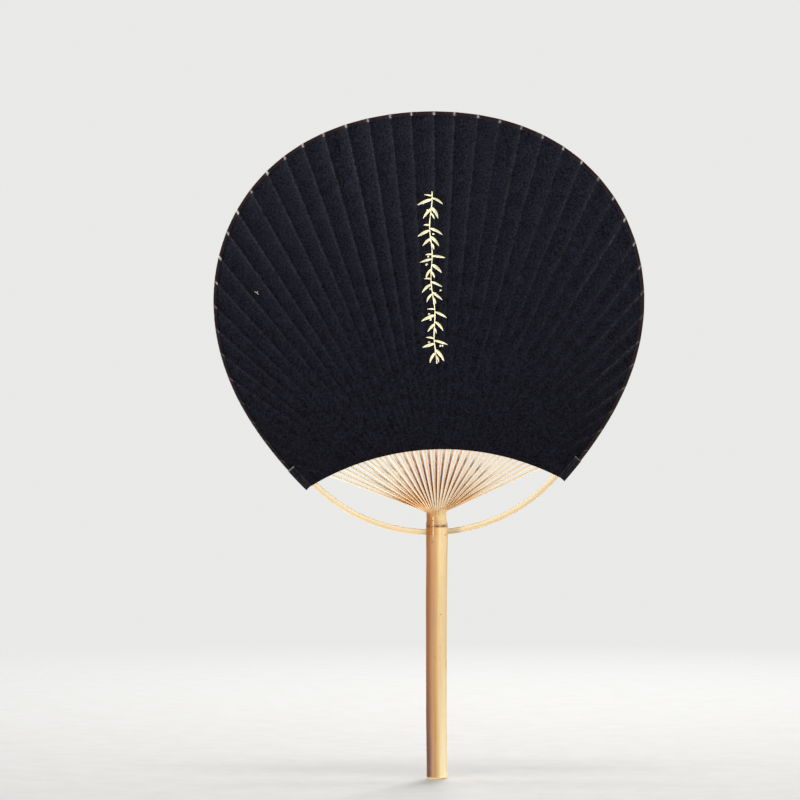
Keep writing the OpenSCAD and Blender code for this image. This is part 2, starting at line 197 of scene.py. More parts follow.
def spread(t, reach, crowding, end):
    """Places from the middle at t = 0 to reach at t = 1, a little closer together in the
    middle, and evenly on to end at t = 2. Places to the left are negative."""
    far = np.abs(t)
    inside = reach * ((1 - crowding) * far + crowding * far**3)
    return np.sign(t) * np.where(far <= 1, inside, mix(reach, end, far - 1))


def edge_point(t):
    """Where the rib of the place t meets the paper's lower edge."""
    u = spread(t, RIB_REACH, EDGE_CROWDING, CORNER_U - CORNER_GAP)
    return u, window_w(u)


def rim_a(t):
    """The rim's angle at the tip of the rib of the place t."""
    return spread(t, RIB_SPREAD, RIM_CROWDING, CORNER_A - CORNER_GAP_A)


def knee(t, x):
    """Radius and centre of the bend by which the rib of the place t leaves the cane at x."""
    u, w = edge_point(t)
    angle = np.maximum(np.arctan2(np.abs(u), w - NECK_LENGTH), math.radians(0.5))
    radius = KNEE_LENGTH / angle
    return radius, np.abs(x) + radius, NECK_LENGTH + KNEE_START


def rib_dir(t, x):
    """The rib's direction above its bend, from up: the tangent from the edge to the bend."""
    u, w = edge_point(t)
    radius, centre_u, centre_w = knee(t, x)
    du, dw = np.abs(u) - centre_u, w - centre_w
    return np.sign(t) * (np.arctan2(du, dw) + np.arcsin(radius / np.hypot(du, dw)))


def aim(t):
    """The direction of the rib of the place t at the paper's lower edge."""
    return rib_dir(t, STAVE_R * np.sin(OUTER_STAVE * np.clip(t, -1, 1)))


def rib_curve(t, v):
    """A rib under the paper: a curve of the second degree from the lower edge, where it
    starts straight on, to the rim. v runs from 0 at the edge to 1 at the rim."""
    pu, pw = edge_point(t)
    qu, qw = rim_point(rim_a(t), PAPER_INSET)
    half = np.hypot(qu - pu, qw - pw) / 2
    cu, cw = pu + half * np.sin(aim(t)), pw + half * np.cos(aim(t))
    k0, k1, k2 = (1 - v) ** 2, 2 * v * (1 - v), v * v
    return pu * k0 + cu * k1 + qu * k2, pw * k0 + cw * k1 + qw * k2


def rib_heading(t, v):
    """Direction of the curve at v, from up, by a small step on both sides."""
    u0, w0 = rib_curve(t, v - 0.002)
    u1, w1 = rib_curve(t, v + 0.002)
    return np.arctan2(u1 - u0, w1 - w0)


def rib_length(t):
    """Length of the straight line from the lower edge to the rim."""
    u0, w0 = rib_curve(t, 0)
    u1, w1 = rib_curve(t, 1)
    return np.hypot(u1 - u0, w1 - w0)


def thread_way(t):
    """Way along a rib from the paper's lower edge to the thread."""
    return THREAD_INSET / np.cos(aim(t) - np.arcsin(edge_point(t)[0] / WINDOW_R))


def bow_line(u):
    """Height of the bow: a parabola, and near the ends a fifth power that lifts them."""
    lift = CORNER_W + BOW_RISE - BOW_REACH**2 / (2 * BOW_R)
    return u * u / (2 * BOW_R) + lift * (np.abs(u) / BOW_REACH) ** 5


def bow_slope(u):
    """Slope angle of the bow, by a small step on both sides."""
    return np.arctan2(bow_line(u + 0.01) - bow_line(u - 0.01), 0.02)


def bow_half_t(u):
    """Half of the bow's thickness: full near the cane, thinning evenly to the ends."""
    full, end = SWELL_R * 1.6, BOW_REACH + BOW_W
    return mix(BOW_T, BOW_TIP_T, np.clip((np.abs(u) - full) / (end - full), 0, 1)) / 2


# Each rib: its place t, its stave's angle on the cane and its side, 1 for the front
rib_number = np.arange(1, RIB_COUNT + 1)
even_t = (2 * rib_number - RIB_COUNT - 1) / (RIB_COUNT - 1)
uneven = RIB_UNEVENNESS * random.uniform(-1, 1, RIB_COUNT) * 2 / (RIB_COUNT - 1)
uneven[[0, -1]] = 0
rib_t = even_t + uneven
rib_stave = -math.pi / 2 + ((rib_number - 1) // 2 + 0.5) * TURN / RIB_COUNT
rib_side = np.where(rib_number % 2 == 1, 1, -1)
rib_x = STAVE_R * np.sin(rib_stave)
rib_y = STAVE_R * np.cos(rib_stave)


def bend_arc(t, x, share):
    """A rib's bend at a share of its way: turned angle, u to either side, w, and the way from
    the neck."""
    radius, _, _ = knee(t, x)
    turned = share * np.abs(rib_dir(t, x))
    u = np.abs(x) + radius * (1 - np.cos(turned))
    w = NECK_LENGTH + KNEE_START + radius * np.sin(turned)
    return turned, u, w, KNEE_START + radius * turned


def lower_length(t, x):
    """Way along a rib from the neck to the paper's lower edge."""
    _, bend_u, bend_w, way = bend_arc(t, x, 1)
    u, w = edge_point(t)
    return way + np.hypot(np.abs(u) - bend_u, w - bend_w)


rib_low = lower_length(rib_t, rib_x)


def rib_depth(n, way):
    """Distance of rib n from the middle plane: from the cane's wall smoothly down to nothing
    at the thread, where all the ribs lie side by side."""
    return rib_y[n] * (1 - smooth(way / (rib_low[n] + thread_way(rib_t[n]))))


def rib_half_t(v):
    """Half of a rib's thickness under the paper."""
    return mix(RIB_T, RIB_TIP_T, v) / 2


# Meshes


def link(obj):
    """Puts an object in the scene."""
    bpy.context.scene.collection.objects.link(obj)


def make_piece(name, points, faces, material, uv=None, values=None):
    """A smooth-shaded mesh object on the part's body, from points in millimetres and faces of
    four corners, of which one that comes twice is dropped. Where the signed volume is negative,
    every face is turned round, so that all point outwards."""
    faces = np.asarray(faces)
    a, b, c, d = (points[faces[:, n]] for n in range(4))
    volume = (a * np.cross(b, c)).sum() + (a * np.cross(c, d)).sum()
    order = slice(None, None, -1 if volume < 0 else 1)
    faces = faces[:, order]
    corners = [list(dict.fromkeys(face)) for face in faces.tolist()]
    mesh = bpy.data.meshes.new(name)
    mesh.from_pydata((points * MM).tolist(), [], corners, shade_flat=False)
    if uv is not None:
        layer = mesh.uv_layers.new(name="way")
        layer.uv.foreach_set("vector", uv[:, order].astype(np.float32).ravel())
    for key, value in (values or {}).items():
        attribute = mesh.attributes.new(key, "FLOAT", "POINT")
        attribute.data.foreach_set("value", np.ravel(value).astype(np.float32))
    mesh.materials.append(material)
    obj = bpy.data.objects.new(name, mesh)
    link(obj)
    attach(obj, "root")
    return obj


def way_round(rings):
    """Distances along and around a sweep, in centimetres: the way of the rings' middles, and
    the mean way round a ring to each of its points."""
    along = np.linalg.norm(np.diff(rings.mean(1), axis=0), axis=1)
    along = np.concatenate([[0], np.cumsum(along)])
    loop = np.concatenate([rings, rings[:, :1]], 1)
    around = np.linalg.norm(np.diff(loop, axis=1), axis=2).mean(0)
    around = np.concatenate([[0], np.cumsum(around)])
    return np.stack(np.meshgrid(around, along), -1) / 10


def side_faces(rows, around, seam=0):
    """Corners of the faces that join each ring of points to the next, all the way round. With
    a seam of 1, each row has one more point, which takes its first one's place at the end."""
    r, k = np.meshgrid(np.arange(rows - 1), np.arange(around), indexing="ij")
    width = around + seam
    corners = ((r, k), (r + 1, k), (r + 1, k + 1), (r, k + 1))
    return np.stack([cr * width + ck % width for cr, ck in corners], -1).reshape(-1, 4)


def sweep_faces(rows, around, seam=0):
    """The side faces, and faces across each end that join point k to point n-1-k."""
    k = np.arange(around // 2 - 1)
    cap = np.stack([k, k + 1, around - 2 - k, around - 1 - k], -1)
    last = cap[:, ::-1] + (rows - 1) * (around + seam)
    return np.concatenate([side_faces(rows, around, seam), cap, last])


def closed_sweep(name, rings, material, values=None):
    """A solid's skin over an array of rings with an even number of points."""
    rows, around = rings.shape[:2]
    uv = way_round(rings).reshape(-1, 2)[sweep_faces(rows, around, 1)]
    return make_piece(name, rings.reshape(-1, 3), sweep_faces(rows, around), material, uv, values)


def shell_rings(outer, inner):
    """Rings that run along a shell's outer face and back along its inner one."""
    return np.concatenate([outer, inner[:, ::-1]], 1)


def outer_values(**values):
    """Values of a shell's outer face, with zeros for its inner one."""
    return {key: np.concatenate([value, 0 * value], 1) for key, value in values.items()}


def squared_circle(a, power):
    """Cosine and sine of a, each raised to a power under 1, which draws a circle out towards
    a square's corners."""
    c, s = np.cos(a), np.sin(a)
    return np.sign(c) * np.abs(c) ** power, np.sign(s) * np.abs(s) ** power


def rounded_section(points, sharpness):
    """A ring of points on a square with round corners, from -1 to 1 each way. It starts
    between two corners."""
    return squared_circle((np.arange(points) + 0.5) * TURN / points, 1 - sharpness)


# Materials


def rgb(red, green, blue):
    """A colour as a screen shows it, from 0 to 255, in linear light."""
    linear = [((c / 255 + 0.055) / 1.055) ** 2.4 if c > 10 else c / 255 / 12.92
              for c in (red, green, blue)]
    return (*linear, 1)


class Shading:
    """The node tree of a material or a world."""

    def __init__(self, owner):
        owner.use_nodes = True
        self.nodes = owner.node_tree.nodes
        self.links = owner.node_tree.links

    def add(self, kind, inputs=(), **settings):
        """A node with its settings. Inputs that are sockets are linked, and others are set."""
        node = self.nodes.new("ShaderNode" + kind)
        for key, value in settings.items():
            setattr(node, key, value)
        for key, value in dict(inputs).items():
            if isinstance(value, bpy.types.NodeSocket):
                self.links.new(value, node.inputs[key])
            else:
                node.inputs[key].default_value = value
        return node

    def show(self, output, shader):
        """Makes a shader node's result the surface of the named output node."""
        self.links.new(shader.outputs[0], self.nodes[output].inputs["Surface"])


class Finish(Shading):
    """A material while it is made. Its methods add nodes, and most give back an output."""

    def __init__(self, name, roughness, specular):
        self.material = bpy.data.materials.new(name)
        super().__init__(self.material)
        self.shader = self.nodes["Principled BSDF"]
        self.shader.inputs["Roughness"].default_value = roughness
        self.shader.inputs["Specular IOR Level"].default_value = specular

    def place(self, scale, kind="Object", turn=(0, 0, 0)):
        """Coordinates of the object or its way map, stretched and turned."""
        source = self.add("TexCoord").outputs[kind]
        mapping = {"Vector": source, "Scale": scale, "Rotation": turn}
        return self.add("Mapping", mapping).outputs[0]

    def noise(self, scale, detail=3, roughness=0.55, distortion=0, **place):
        """Soft noise around 0.5 with features of the size 1 / scale along each axis."""
        scale = (scale,) * 3 if isinstance(scale, int) else scale
        inputs = {"Vector": self.place(scale, **place), "Scale": 1, "Detail": detail,
                  "Roughness": roughness, "Distortion": distortion}
        return self.add("TexNoise", inputs).outputs[0]

    def value(self, name):
        """A value kept at the mesh's points."""
        return self.add("Attribute", attribute_name=name).outputs["Fac"]

    def axis(self, n):
        """One of the object's coordinates, in millimetres."""
        parts = self.add("SeparateXYZ", {0: self.add("TexCoord").outputs["Object"]})
        return self.math("MULTIPLY", parts.outputs[n], 1000)

    def math(self, operation, a, b=0.0, c=0.0, clamp=False):
        """The named operation on two or three numbers."""
        inputs = {0: a, 1: b, 2: c}
        return self.add("Math", inputs, operation=operation, use_clamp=clamp).outputs[0]

    def between(self, value, low, high, to_low=0.0, to_high=1.0):
        """The value's place between low and high, as a value from to_low to to_high."""
        inputs = {0: value, 1: low, 2: high, 3: to_low, 4: to_high}
        return self.add("MapRange", inputs).outputs[0]

    def ramp(self, value, places, tones):
        """A colour between screen tones that stand at places from 0 to 1."""
        node = self.add("ValToRGB", {0: value})
        elements = node.color_ramp.elements
        while len(elements) < len(places):
            elements.new(1)
        for element, place, tone in zip(elements, places, tones):
            element.position = place
            element.color = rgb(*tone)
        return node.outputs[0]

    def blend(self, share, colour, other):
        """A mix of a colour with another one or with a screen tone."""
        other = rgb(*other) if isinstance(other, tuple) else other
        return self.add("Mix", {0: share, 6: colour, 7: other}, data_type="RGBA").outputs[2]

    def tint(self, colour, amount):
        """The colour times a number near 1."""
        inputs = {0: colour, "Scale": amount}
        return self.add("VectorMath", inputs, operation="SCALE").outputs[0]

    def mottle(self, colour, noise, low, high, places=(0.3, 0.7)):
        """The colour times low to high, where the noise goes from one place to the other."""
        return self.tint(colour, self.between(noise, *places, low, high))

    def bump(self, height, distance):
        """Small relief of the given depth in millimetres, added to the shader's normal."""
        socket = self.shader.inputs["Normal"]
        inputs = {"Height": height, "Distance": distance * MM}
        if socket.is_linked:
            inputs["Normal"] = socket.links[0].from_socket
        self.links.new(self.add("Bump", inputs).outputs[0], socket)

    def finish(self, colour, roughness=None):
        """Links the colour, and the roughness where it varies, and gives the material."""
        self.links.new(colour, self.shader.inputs["Base Color"])
        if roughness is not None:
            self.links.new(roughness, self.shader.inputs["Roughness"])
        return self.material


CANE_PLACES = (0, 0.2, 0.42, 0.68, 0.86, 1)
# Tones across the cane from left to right: the brown left ones are partly painted shade on the side
# away from the main light
UPPER_TONES = ((120, 70, 18), (140, 84, 22), (192, 146, 84), (246, 218, 164), (244, 212, 158),
               (224, 184, 130))
LOWER_TONES = ((72, 36, 8), (94, 46, 5), (176, 128, 58), (248, 228, 180), (252, 234, 190),
               (232, 204, 150))


def cane_tone(make):
    """The skin's colour: honey-brown on the left of the cane and cream on the right, with more
    contrast towards the butt and paler towards the bow. The brown left is partly the cane's own
    colour and partly painted shade on the side away from the main light."""
    streak = make.noise((330, 330, 9))
    x = make.math("ADD", make.axis(0), make.between(streak, 0, 1, -1.4, 1.4))
    across = make.between(x, -6.3, 6.3)
    upper = make.ramp(across, CANE_PLACES, UPPER_TONES)
    lower = make.ramp(across, CANE_PLACES, LOWER_TONES)
    colour = make.blend(make.between(make.axis(2), 10, -50), upper, lower)
    return make.tint(colour, make.between(make.axis(2), 30, 84, 1, 1.16))


# Dark specks on the front of the cane: x, z and radius
SPECKS = ((-2.7, 74.9, 0.7), (4.6, 78.9, 0.6), (-4.1, -15.3, 0.8), (-4.1, -44.3, 1.1),
          (-3.5, -59.4, 0.7), (2.2, 33, 0.45), (-1.2, 8, 0.4))
# The glossy stretch round the bow: its middle, and half its length without and with its fade
GLOSS_Z = BOW_Z + 4
GLOSS_CORE = 4.5
GLOSS_REACH = 7.5


def cane_skin():
    """Bamboo skin with fine fibres along it, dark specks, and the brown cut of the node."""
    make = Finish("cane skin", 0.42, 0.3)
    fibre = make.noise((900, 900, 26), 4, 0.6)
    colour = cane_tone(make)
    colour = make.mottle(colour, fibre, 0.9, 1.05)
    stain = make.noise((240, 240, 60), 3, 0.6)
    colour = make.blend(make.between(stain, 0.62, 0.78, 0, 0.35), colour, (170, 112, 62))
    colour = make.blend(make.value("cut"), colour, (96, 40, 24))
    colour = make.blend(make.value("inside"), colour, (214, 180, 126))
    position = make.add("TexCoord").outputs["Object"]
    for speck_x, speck_z, size in SPECKS:
        depth = -math.sqrt(GRIP_R**2 - speck_x**2)
        centre = (speck_x * MM, depth * MM, speck_z * MM)
        far = make.add("VectorMath", {0: position, 1: centre}, operation="DISTANCE")
        ragged = make.math("MULTIPLY_ADD", stain, size * MM, far.outputs["Value"])
        colour = make.blend(make.between(ragged, 1.7 * size * MM, 0.9 * size * MM, 0, 0.75),
                            colour, (104, 52, 20))
    off_gloss = make.math("ABSOLUTE", make.math("SUBTRACT", make.axis(2), GLOSS_Z))
    dull = make.between(off_gloss, GLOSS_CORE, GLOSS_REACH)
    make.bump(make.math("MULTIPLY", fibre, make.between(dull, 0, 1, 0.1, 1)), 0.05)
    roughness = make.math("ADD", make.between(dull, 0, 1, 0.16, 0.5),
                          make.between(fibre, 0.3, 0.7, -0.03, 0.05))
    return make.finish(colour, roughness)


def split_bamboo(name, split_tones, skin_tones):
    """Split bamboo: skin and browner split faces, by the values kept on the mesh, with fibres
    along the way map. The four tones go from the root to the paper. On the bow the skin tones
    paint a highlight along its upper edge. Rear ribs near the middle take darker tones, partly
    their split faces and partly painted shade from the ribs in front."""
    make = Finish(name, 0.5, 0.3)
    skin_and_highlight, way = make.value("skin_and_highlight"), make.value("way_up")
    fibre = make.noise((26, 0.7, 1), 4, 0.6, kind="UV")
    vein = make.noise((9, 0.25, 1), 2, kind="UV")
    split = make.ramp(way, TONE_PLACES, split_tones)
    colour = make.blend(skin_and_highlight, split, make.ramp(way, TONE_PLACES, skin_tones))
    colour = make.mottle(colour, fibre, 0.94, 1.05)
    colour = make.mottle(colour, vein, 0.93, 1.04, (0.35, 0.7))
    colour = make.tint(colour, make.value("shade"))
    # Rear ribs: darker tones, partly their split faces and partly painted shade from the ribs in
    # front
    colour = make.blend(make.value("rear_split_and_shade"), colour, make.ramp(way, TONE_PLACES, REAR_SPLIT_AND_SHADE_TONES))
    colour = make.blend(make.value("root"), colour, cane_tone(make))
    make.bump(fibre, 0.04)
    return make.finish(colour, make.between(fibre, 0.3, 0.7, 0.42, 0.6))


def willow():
    """End grain of the plug: pale wood with close rings and fine pores."""
    make = Finish("plug end grain", 0.8, 0.2)
    inputs = {"Vector": make.place((1000, 1000, 60)), "Scale": 0.42, "Distortion": 1.5, "Detail": 2}
    rings = make.add("TexWave", inputs, wave_type="RINGS", rings_direction="Z").outputs[1]
    pores = make.noise((2600, 2600, 200), 2)
    colour = make.ramp(rings, (0, 1), ((190, 160, 112), (214, 190, 146)))
    make.bump(pores, 0.06)
    return make.finish(make.mottle(colour, pores, 0.85, 1.08))


def twisted_thread():
    """Undyed thread: pale, with a slanting twist along the way map."""
    make = Finish("twisted thread", 0.75, 0.2)
    twist = make.add("TexWave", {"Vector": make.place((9, 14, 1), "UV"), "Scale": 1},
                     bands_direction="DIAGONAL").outputs[1]
    fuzz = make.noise(3000, 2)
    colour = make.ramp(twist, (0, 1), ((196, 184, 156), (236, 226, 204)))
    make.bump(twist, 0.03)
    return make.finish(make.mottle(colour, fuzz, 0.9, 1.06))


def add_washi(make, dark, light):
    """The colour and relief of dyed paper: cloudy mottling, a finer grain, and thin fibres
    that cross at three slants."""
    cloud = make.noise(130, 4, 0.6)
    grain = make.noise(900, 4, 0.65)
    fine = make.noise(2600, 2)
    fibres = None
    for slant, across in ((0.4, 900), (-0.7, 760), (1.45, 1000)):
        lines = make.noise((across, 60, 110), 2, 0.5, 0.4, turn=(0, slant, 0))
        thin = make.between(make.math("ABSOLUTE", make.math("SUBTRACT", lines, 0.5)), 0.03, 0, 0, 1)
        fibres = thin if fibres is None else make.math("MAXIMUM", fibres, thin)
    tone = make.math("MULTIPLY_ADD", cloud, 0.2, make.math("MULTIPLY", grain, 0.8))
    colour = make.ramp(make.between(tone, 0.36, 0.66), (0, 1), (dark, light))
    colour = make.tint(colour, make.between(fibres, 0, 1, 1, 1.35))
    make.bump(grain, 0.035)
    make.bump(fine, 0.008)
    make.bump(fibres, 0.005)
    return colour


def washi():
    """Black paper with a blue tinge, a little paler towards the top of the head, pale grey over the
    ribs, partly rubbed and partly a painted highlight on their crests, and near-black painted
    shadow in the folds beside the outermost ribs."""
    make = Finish("black washi", 0.5, 0.02)
    colour = add_washi(make, (5, 5, 8), (43, 43, 55))
    colour = make.tint(colour, make.between(make.axis(2), 90, 300, 0.37, 0.86))
    # Pale grey over the ribs' crests: partly wear, partly a painted highlight
    ragged = make.between(make.noise(620, 4, 0.7), 0.42, 0.62)
    rubbed = make.math("MULTIPLY", make.value("rubbed"), ragged, clamp=True)
    colour = make.blend(rubbed, colour, (104, 102, 110))
    # Painted shadow: near-black in the fold beside each outermost rib
    return make.finish(make.blend(make.value("fold"), colour, (1, 1, 2)))


def worn_trim(name, dark, light, brown, wear):
    """Black trim paper, turned brown towards its fold and worn pale where it is rubbed."""
    make = Finish(name, 0.55, 0.04)
    colour = add_washi(make, dark, light)
    patchy = make.between(make.noise(260), 0.3, 0.6)
    turned = make.math("MULTIPLY", make.value("brown"), patchy, clamp=True)
    colour = make.blend(turned, colour, brown)
    ragged = make.between(make.noise(700, 4, 0.7), 0.35, 0.62)
    worn = make.math("MULTIPLY", make.value("worn"), ragged, clamp=True)
    return make.finish(make.blend(worn, colour, wear))


def gilt():
    """Pale gold leaf, thin and slightly uneven."""
    make = Finish("pale gilt", 0.5, 0.4)
    make.shader.inputs["Metallic"].default_value = 0.15
    flake = make.noise(1800, 4, 0.7)
    colour = make.ramp(make.between(flake, 0.3, 0.65), (0, 0.5, 1),
                       ((214, 196, 140), (246, 236, 190), (255, 250, 218)))
    make.bump(flake, 0.02)
    return make.finish(colour)


# Tones from a strip's root to the paper
TONE_PLACES = (0, 0.3, 0.65, 1)
# Rear ribs' tones: dark midway as painted shade from the ribs in front, over their own split-face
# colour
REAR_SPLIT_AND_SHADE_TONES = ((178, 110, 60), (146, 82, 40), (160, 92, 50), (226, 174, 130))

CANE = cane_skin()
RIB = split_bamboo("rib bamboo",
                   ((196, 132, 74), (202, 138, 80), (214, 158, 102), (232, 192, 142)),
                   ((228, 188, 134), (234, 198, 146), (242, 216, 172), (248, 228, 190)))
# On the bow the skin tones paint a highlight along its upper edge
BOW = split_bamboo("bow bamboo",
                   ((212, 176, 122), (214, 178, 124), (218, 186, 132), (222, 192, 140)),
                   ((244, 222, 178), (246, 226, 184), (248, 230, 192), (250, 234, 200)))
WILLOW = willow()
THREAD = twisted_thread()
WASHI = washi()
TRIM = worn_trim("trim paper", (10, 8, 10), (36, 30, 34), (54, 35, 31), (236, 226, 218))
EAR = worn_trim("ear paper", (7, 7, 10), (32, 31, 37), (52, 40, 40), (176, 170, 166))
GILT = gilt()


# The camera and the light

PIXEL = 0.58
PICTURE = 800
CANE_PX = 437
BOW_PY = 532
DISTANCE = 2000
half_picture = PICTURE / 2
camera = bpy.data.objects.new("camera", bpy.data.cameras.new("camera"))
camera.data.sensor_width = 36
camera.data.lens = 36 * DISTANCE / (PICTURE * PIXEL)
camera.location = ((half_picture - CANE_PX) * PIXEL * MM, -DISTANCE * MM,
                   (BOW_Z + (BOW_PY - half_picture) * PIXEL) * MM)
camera.rotation_euler = (math.pi / 2, 0, 0)
link(camera)
bpy.context.scene.camera = camera
bpy.context.scene.view_settings.view_transform = "Standard"


def lamp(name, place, width, height, power, only_gloss=False):
    """A flat lamp of the given size in metres that faces the middle of the fan. With
    only_gloss it shows in the surfaces' gloss alone."""
    light = bpy.data.lights.new(name, "AREA")
    light.shape = "RECTANGLE"
    light.energy = power
    light.size = width
    light.size_y = height
    obj = bpy.data.objects.new(name, light)
    obj.location = place
    obj.visible_diffuse = not only_gloss
    centre = np.array([0, 0, 0.17])
    obj.rotation_euler = Vector(centre - np.array(place)).to_track_quat("-Z", "Y").to_euler()
    link(obj)


lamp("low left", (-2.5, -1.1, -1.0), 0.35, 0.35, 92)
lamp("low right", (1.45, -1.3, -1.55), 1.2, 1.2, 46)
lamp("strip left", (-1.0, -1.2, 0.25), 0.35, 2.6, 52, only_gloss=True)
lamp("high back", (0.3, 1.3, 1.1), 0.8, 0.8, 20)
lamp("above", (0, -0.15, 2.2), 1.0, 1.0, 21)

AMBIENT = 0.17
PALE = (0.82, 0.82, 0.81, 1)
bpy.context.scene.world = bpy.data.worlds.new("pale room")
room = Shading(bpy.context.scene.world)
soft = room.nodes["Background"]
soft.inputs["Color"].default_value = (1, 1, 1, 1)
soft.inputs["Strength"].default_value = AMBIENT
pale = room.add("Background", {"Color": PALE})
path = room.add("LightPath")
seen = path.outputs["Is Camera Ray"]
for ray in ("Is Glossy Ray", "Is Transmission Ray"):
    seen = room.add("Math", {0: seen, 1: path.outputs[ray]}, operation="MAXIMUM").outputs[0]
which = room.add("MixShader", {0: seen, 1: soft.outputs[0], 2: pale.outputs[0]})
room.show("World Output", which)


def pale_floor():
    """A round pale floor under the butt that fades out, so that it joins the background."""
    radius, around = 1300, 96
    rings = np.linspace(0, 1, 60)[1:] ** 1.5 * radius
    a = np.linspace(0, TURN, around, endpoint=False)
    faces = side_faces(len(rings), around).tolist()
    x, y = rings[:, None] * np.cos(a), rings[:, None] * np.sin(a)
    points = np.stack([x, y, np.full_like(x, BUTT_Z - 0.5)], -1).reshape(-1, 3) * MM
    mesh = bpy.data.meshes.new("floor")
    mesh.from_pydata(points.tolist(), [], faces + [list(range(around))])
    floor = bpy.data.objects.new("floor", mesh)
    link(floor)
    floor.visible_shadow = False
    make = Finish("pale floor", 0.9, 0.1)
    far = make.add("VectorMath", {0: make.add("TexCoord").outputs["Object"]}, operation="LENGTH")
    colour = make.ramp(make.noise(60), (0.3, 0.7), ((232, 231, 228), (238, 237, 235)))
    mesh.materials.append(make.finish(colour))
    fade = make.between(far.outputs["Value"], 0.16, 1.1)
    clear = make.add("BsdfTransparent")
    both = make.add("MixShader", {0: fade, 1: make.shader.outputs[0], 2: clear.outputs[0]})
    make.show("Material Output", both)


pale_floor()


# The cane


NODE_Z = BOW_Z + NODE_HEIGHT
# The node's ring under and over its cut, and the cut: way up from the node, height, half width
NODE_RINGS = ((-1, 0.09, 1), (1, 0.06, 1), (0, -0.14, 0.24))
NODE_REACH = 1.6
OVAL = 0.006
# The brown cut round the node: half its width, its number of dashes, and the ones in front
CUT_HALF = 0.8
CUT_DASHES = 22
FRONT_DASHES = {18: 1, 19: 1, 20: 0.5, 0: 0.95, 1: 0.6, 2: 0.9}
SLOT_REACH = 9


def cane_radius(z):
    """Radius of the cane's outside: a grip that tapers a little to the butt, the swelling to
    the bow, the neck, and bells for the node's ring and its cut."""
    grip = GRIP_R + GRIP_TAPER * smooth((z - BUTT_Z) / (GRIP_TOP - BUTT_Z)) - GRIP_TAPER / 2
    r = mix(grip, SWELL_R, smooth((z - GRIP_TOP) / (BOW_Z - GRIP_TOP)))
    r = mix(r, NECK_R, smooth((z - NODE_Z) / 4))
    return r + sum(height * bell(z - NODE_Z - up, half) for up, height, half in NODE_RINGS)


def cane_path(z):
    """The cane's slight natural bend to the left, between its butt and the bow."""
    return -0.35 * smooth((z - BUTT_Z) / 40) * smooth((BOW_Z - z) / 45)


def cane_profile():
    """Radius and height of the points from the middle of the node's wall at the bore's
    ceiling, down the bore, round the butt, up the outside, and down to the wall's top. Also
    says which of them are on the outside."""
    top = BOW_Z + NECK_LENGTH
    ceiling, ledge = NODE_Z - NODE_WALL / 2, NODE_Z + NODE_WALL / 2
    corners = ((0, ceiling), (BORE_R, ceiling), (BORE_R, BUTT_Z), (GRIP_R - BUTT_BEVEL, BUTT_Z),
               (GRIP_R, BUTT_Z + BUTT_BEVEL), (GRIP_R, GRIP_TOP), (SWELL_R, NODE_Z - NODE_REACH),
               (NECK_R, NODE_Z + NODE_REACH), (NECK_R, top - 0.02), (NECK_R, top), (BORE_R, top),
               (BORE_R, ledge), (0, ledge))
    steps = (5, 40, 4, 3, 100, 34, 44, 16, 1, 4, 8, 4)
    parts = [np.linspace(start, end, count, endpoint=False)
             for start, end, count in zip(corners, corners[1:], steps)]
    radius, z = np.concatenate([*parts, corners[-1:]]).T
    outside = np.zeros(len(z), bool)
    outside[sum(steps[:4]):sum(steps[:9]) + 1] = True
    return radius, z, outside


def on_bow(u, section, grow):
    """Points of the bow's skin: the section scaled to the bow's width in the head's plane and
    to its thickness from front to back, both wider by grow on each side."""
    c, s = section
    slope = bow_slope(u)
    off = c * (BOW_W / 2 + grow)
    return u - off * np.sin(slope), s * (bow_half_t(u) + grow), bow_line(u) + off * np.cos(slope)


def make_cane():
    """The cane, a profile carried round its axis. At the node its points turn to the head's
    lean, and the bow's slot is cut through."""
    around = 176
    radius, z, outside = cane_profile()
    angle = np.arange(around) * TURN / around
    own = np.where(outside, cane_radius(z), radius)[:, None]
    own = own * (1 + np.where(outside, OVAL, 0)[:, None] * np.cos(2 * angle + z[:, None] / 30))
    x = own * np.sin(angle)
    y = -own * np.cos(angle)
    height = (z - BOW_Z)[:, None]
    lean = LEAN * smooth((height - NODE_HEIGHT + 1) / 2.5)
    neck_x = x * np.cos(lean) - height * np.sin(lean)
    neck_z = BOW_Z + x * np.sin(lean) + height * np.cos(lean)
    points = np.stack([neck_x + cane_path(z)[:, None], y, neck_z], -1)
    index = np.arange(len(z) * around)
    index[:around] = 0
    index[-around:] = (len(z) - 1) * around
    used, faces = np.unique(index[side_faces(len(z), around)], return_inverse=True)
    dashes = random.uniform(0.2, 0.9, CUT_DASHES)
    for n, strength in FRONT_DASHES.items():
        dashes[n] = strength
    dash_angle = np.arange(CUT_DASHES + 1) * TURN / CUT_DASHES
    dash = np.interp(angle, dash_angle, np.append(dashes, dashes[0]))
    near_cut = bell(z - NODE_Z, CUT_HALF)[:, None]
    values = {"cut": (near_cut * dash * outside[:, None]).ravel()[used],
              "inside": np.repeat(~outside, around)[used]}
    cane = make_piece("cane", points.reshape(-1, 3)[used], faces.reshape(-1, 4), CANE,
                      values=values)
    slot_line = np.linspace(-SLOT_REACH, SLOT_REACH, 25)[:, None]
    slot_rings = in_head(*on_bow(slot_line, rounded_section(24, 0.62), SLOT_FIT))
    slot = closed_sweep("slot", slot_rings, CANE)
    cut = cane.modifiers.new("slot", "BOOLEAN")
    cut.operation = "DIFFERENCE"
    cut.object = slot
    depsgraph = bpy.context.evaluated_depsgraph_get()
    cut_mesh = bpy.data.meshes.new_from_object(cane.evaluated_get(depsgraph))
    cane.modifiers.clear()
    cane.data = cut_mesh
    cut_mesh.name = "cane"
    bpy.data.objects.remove(slot)
    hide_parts("handle")


make_cane()


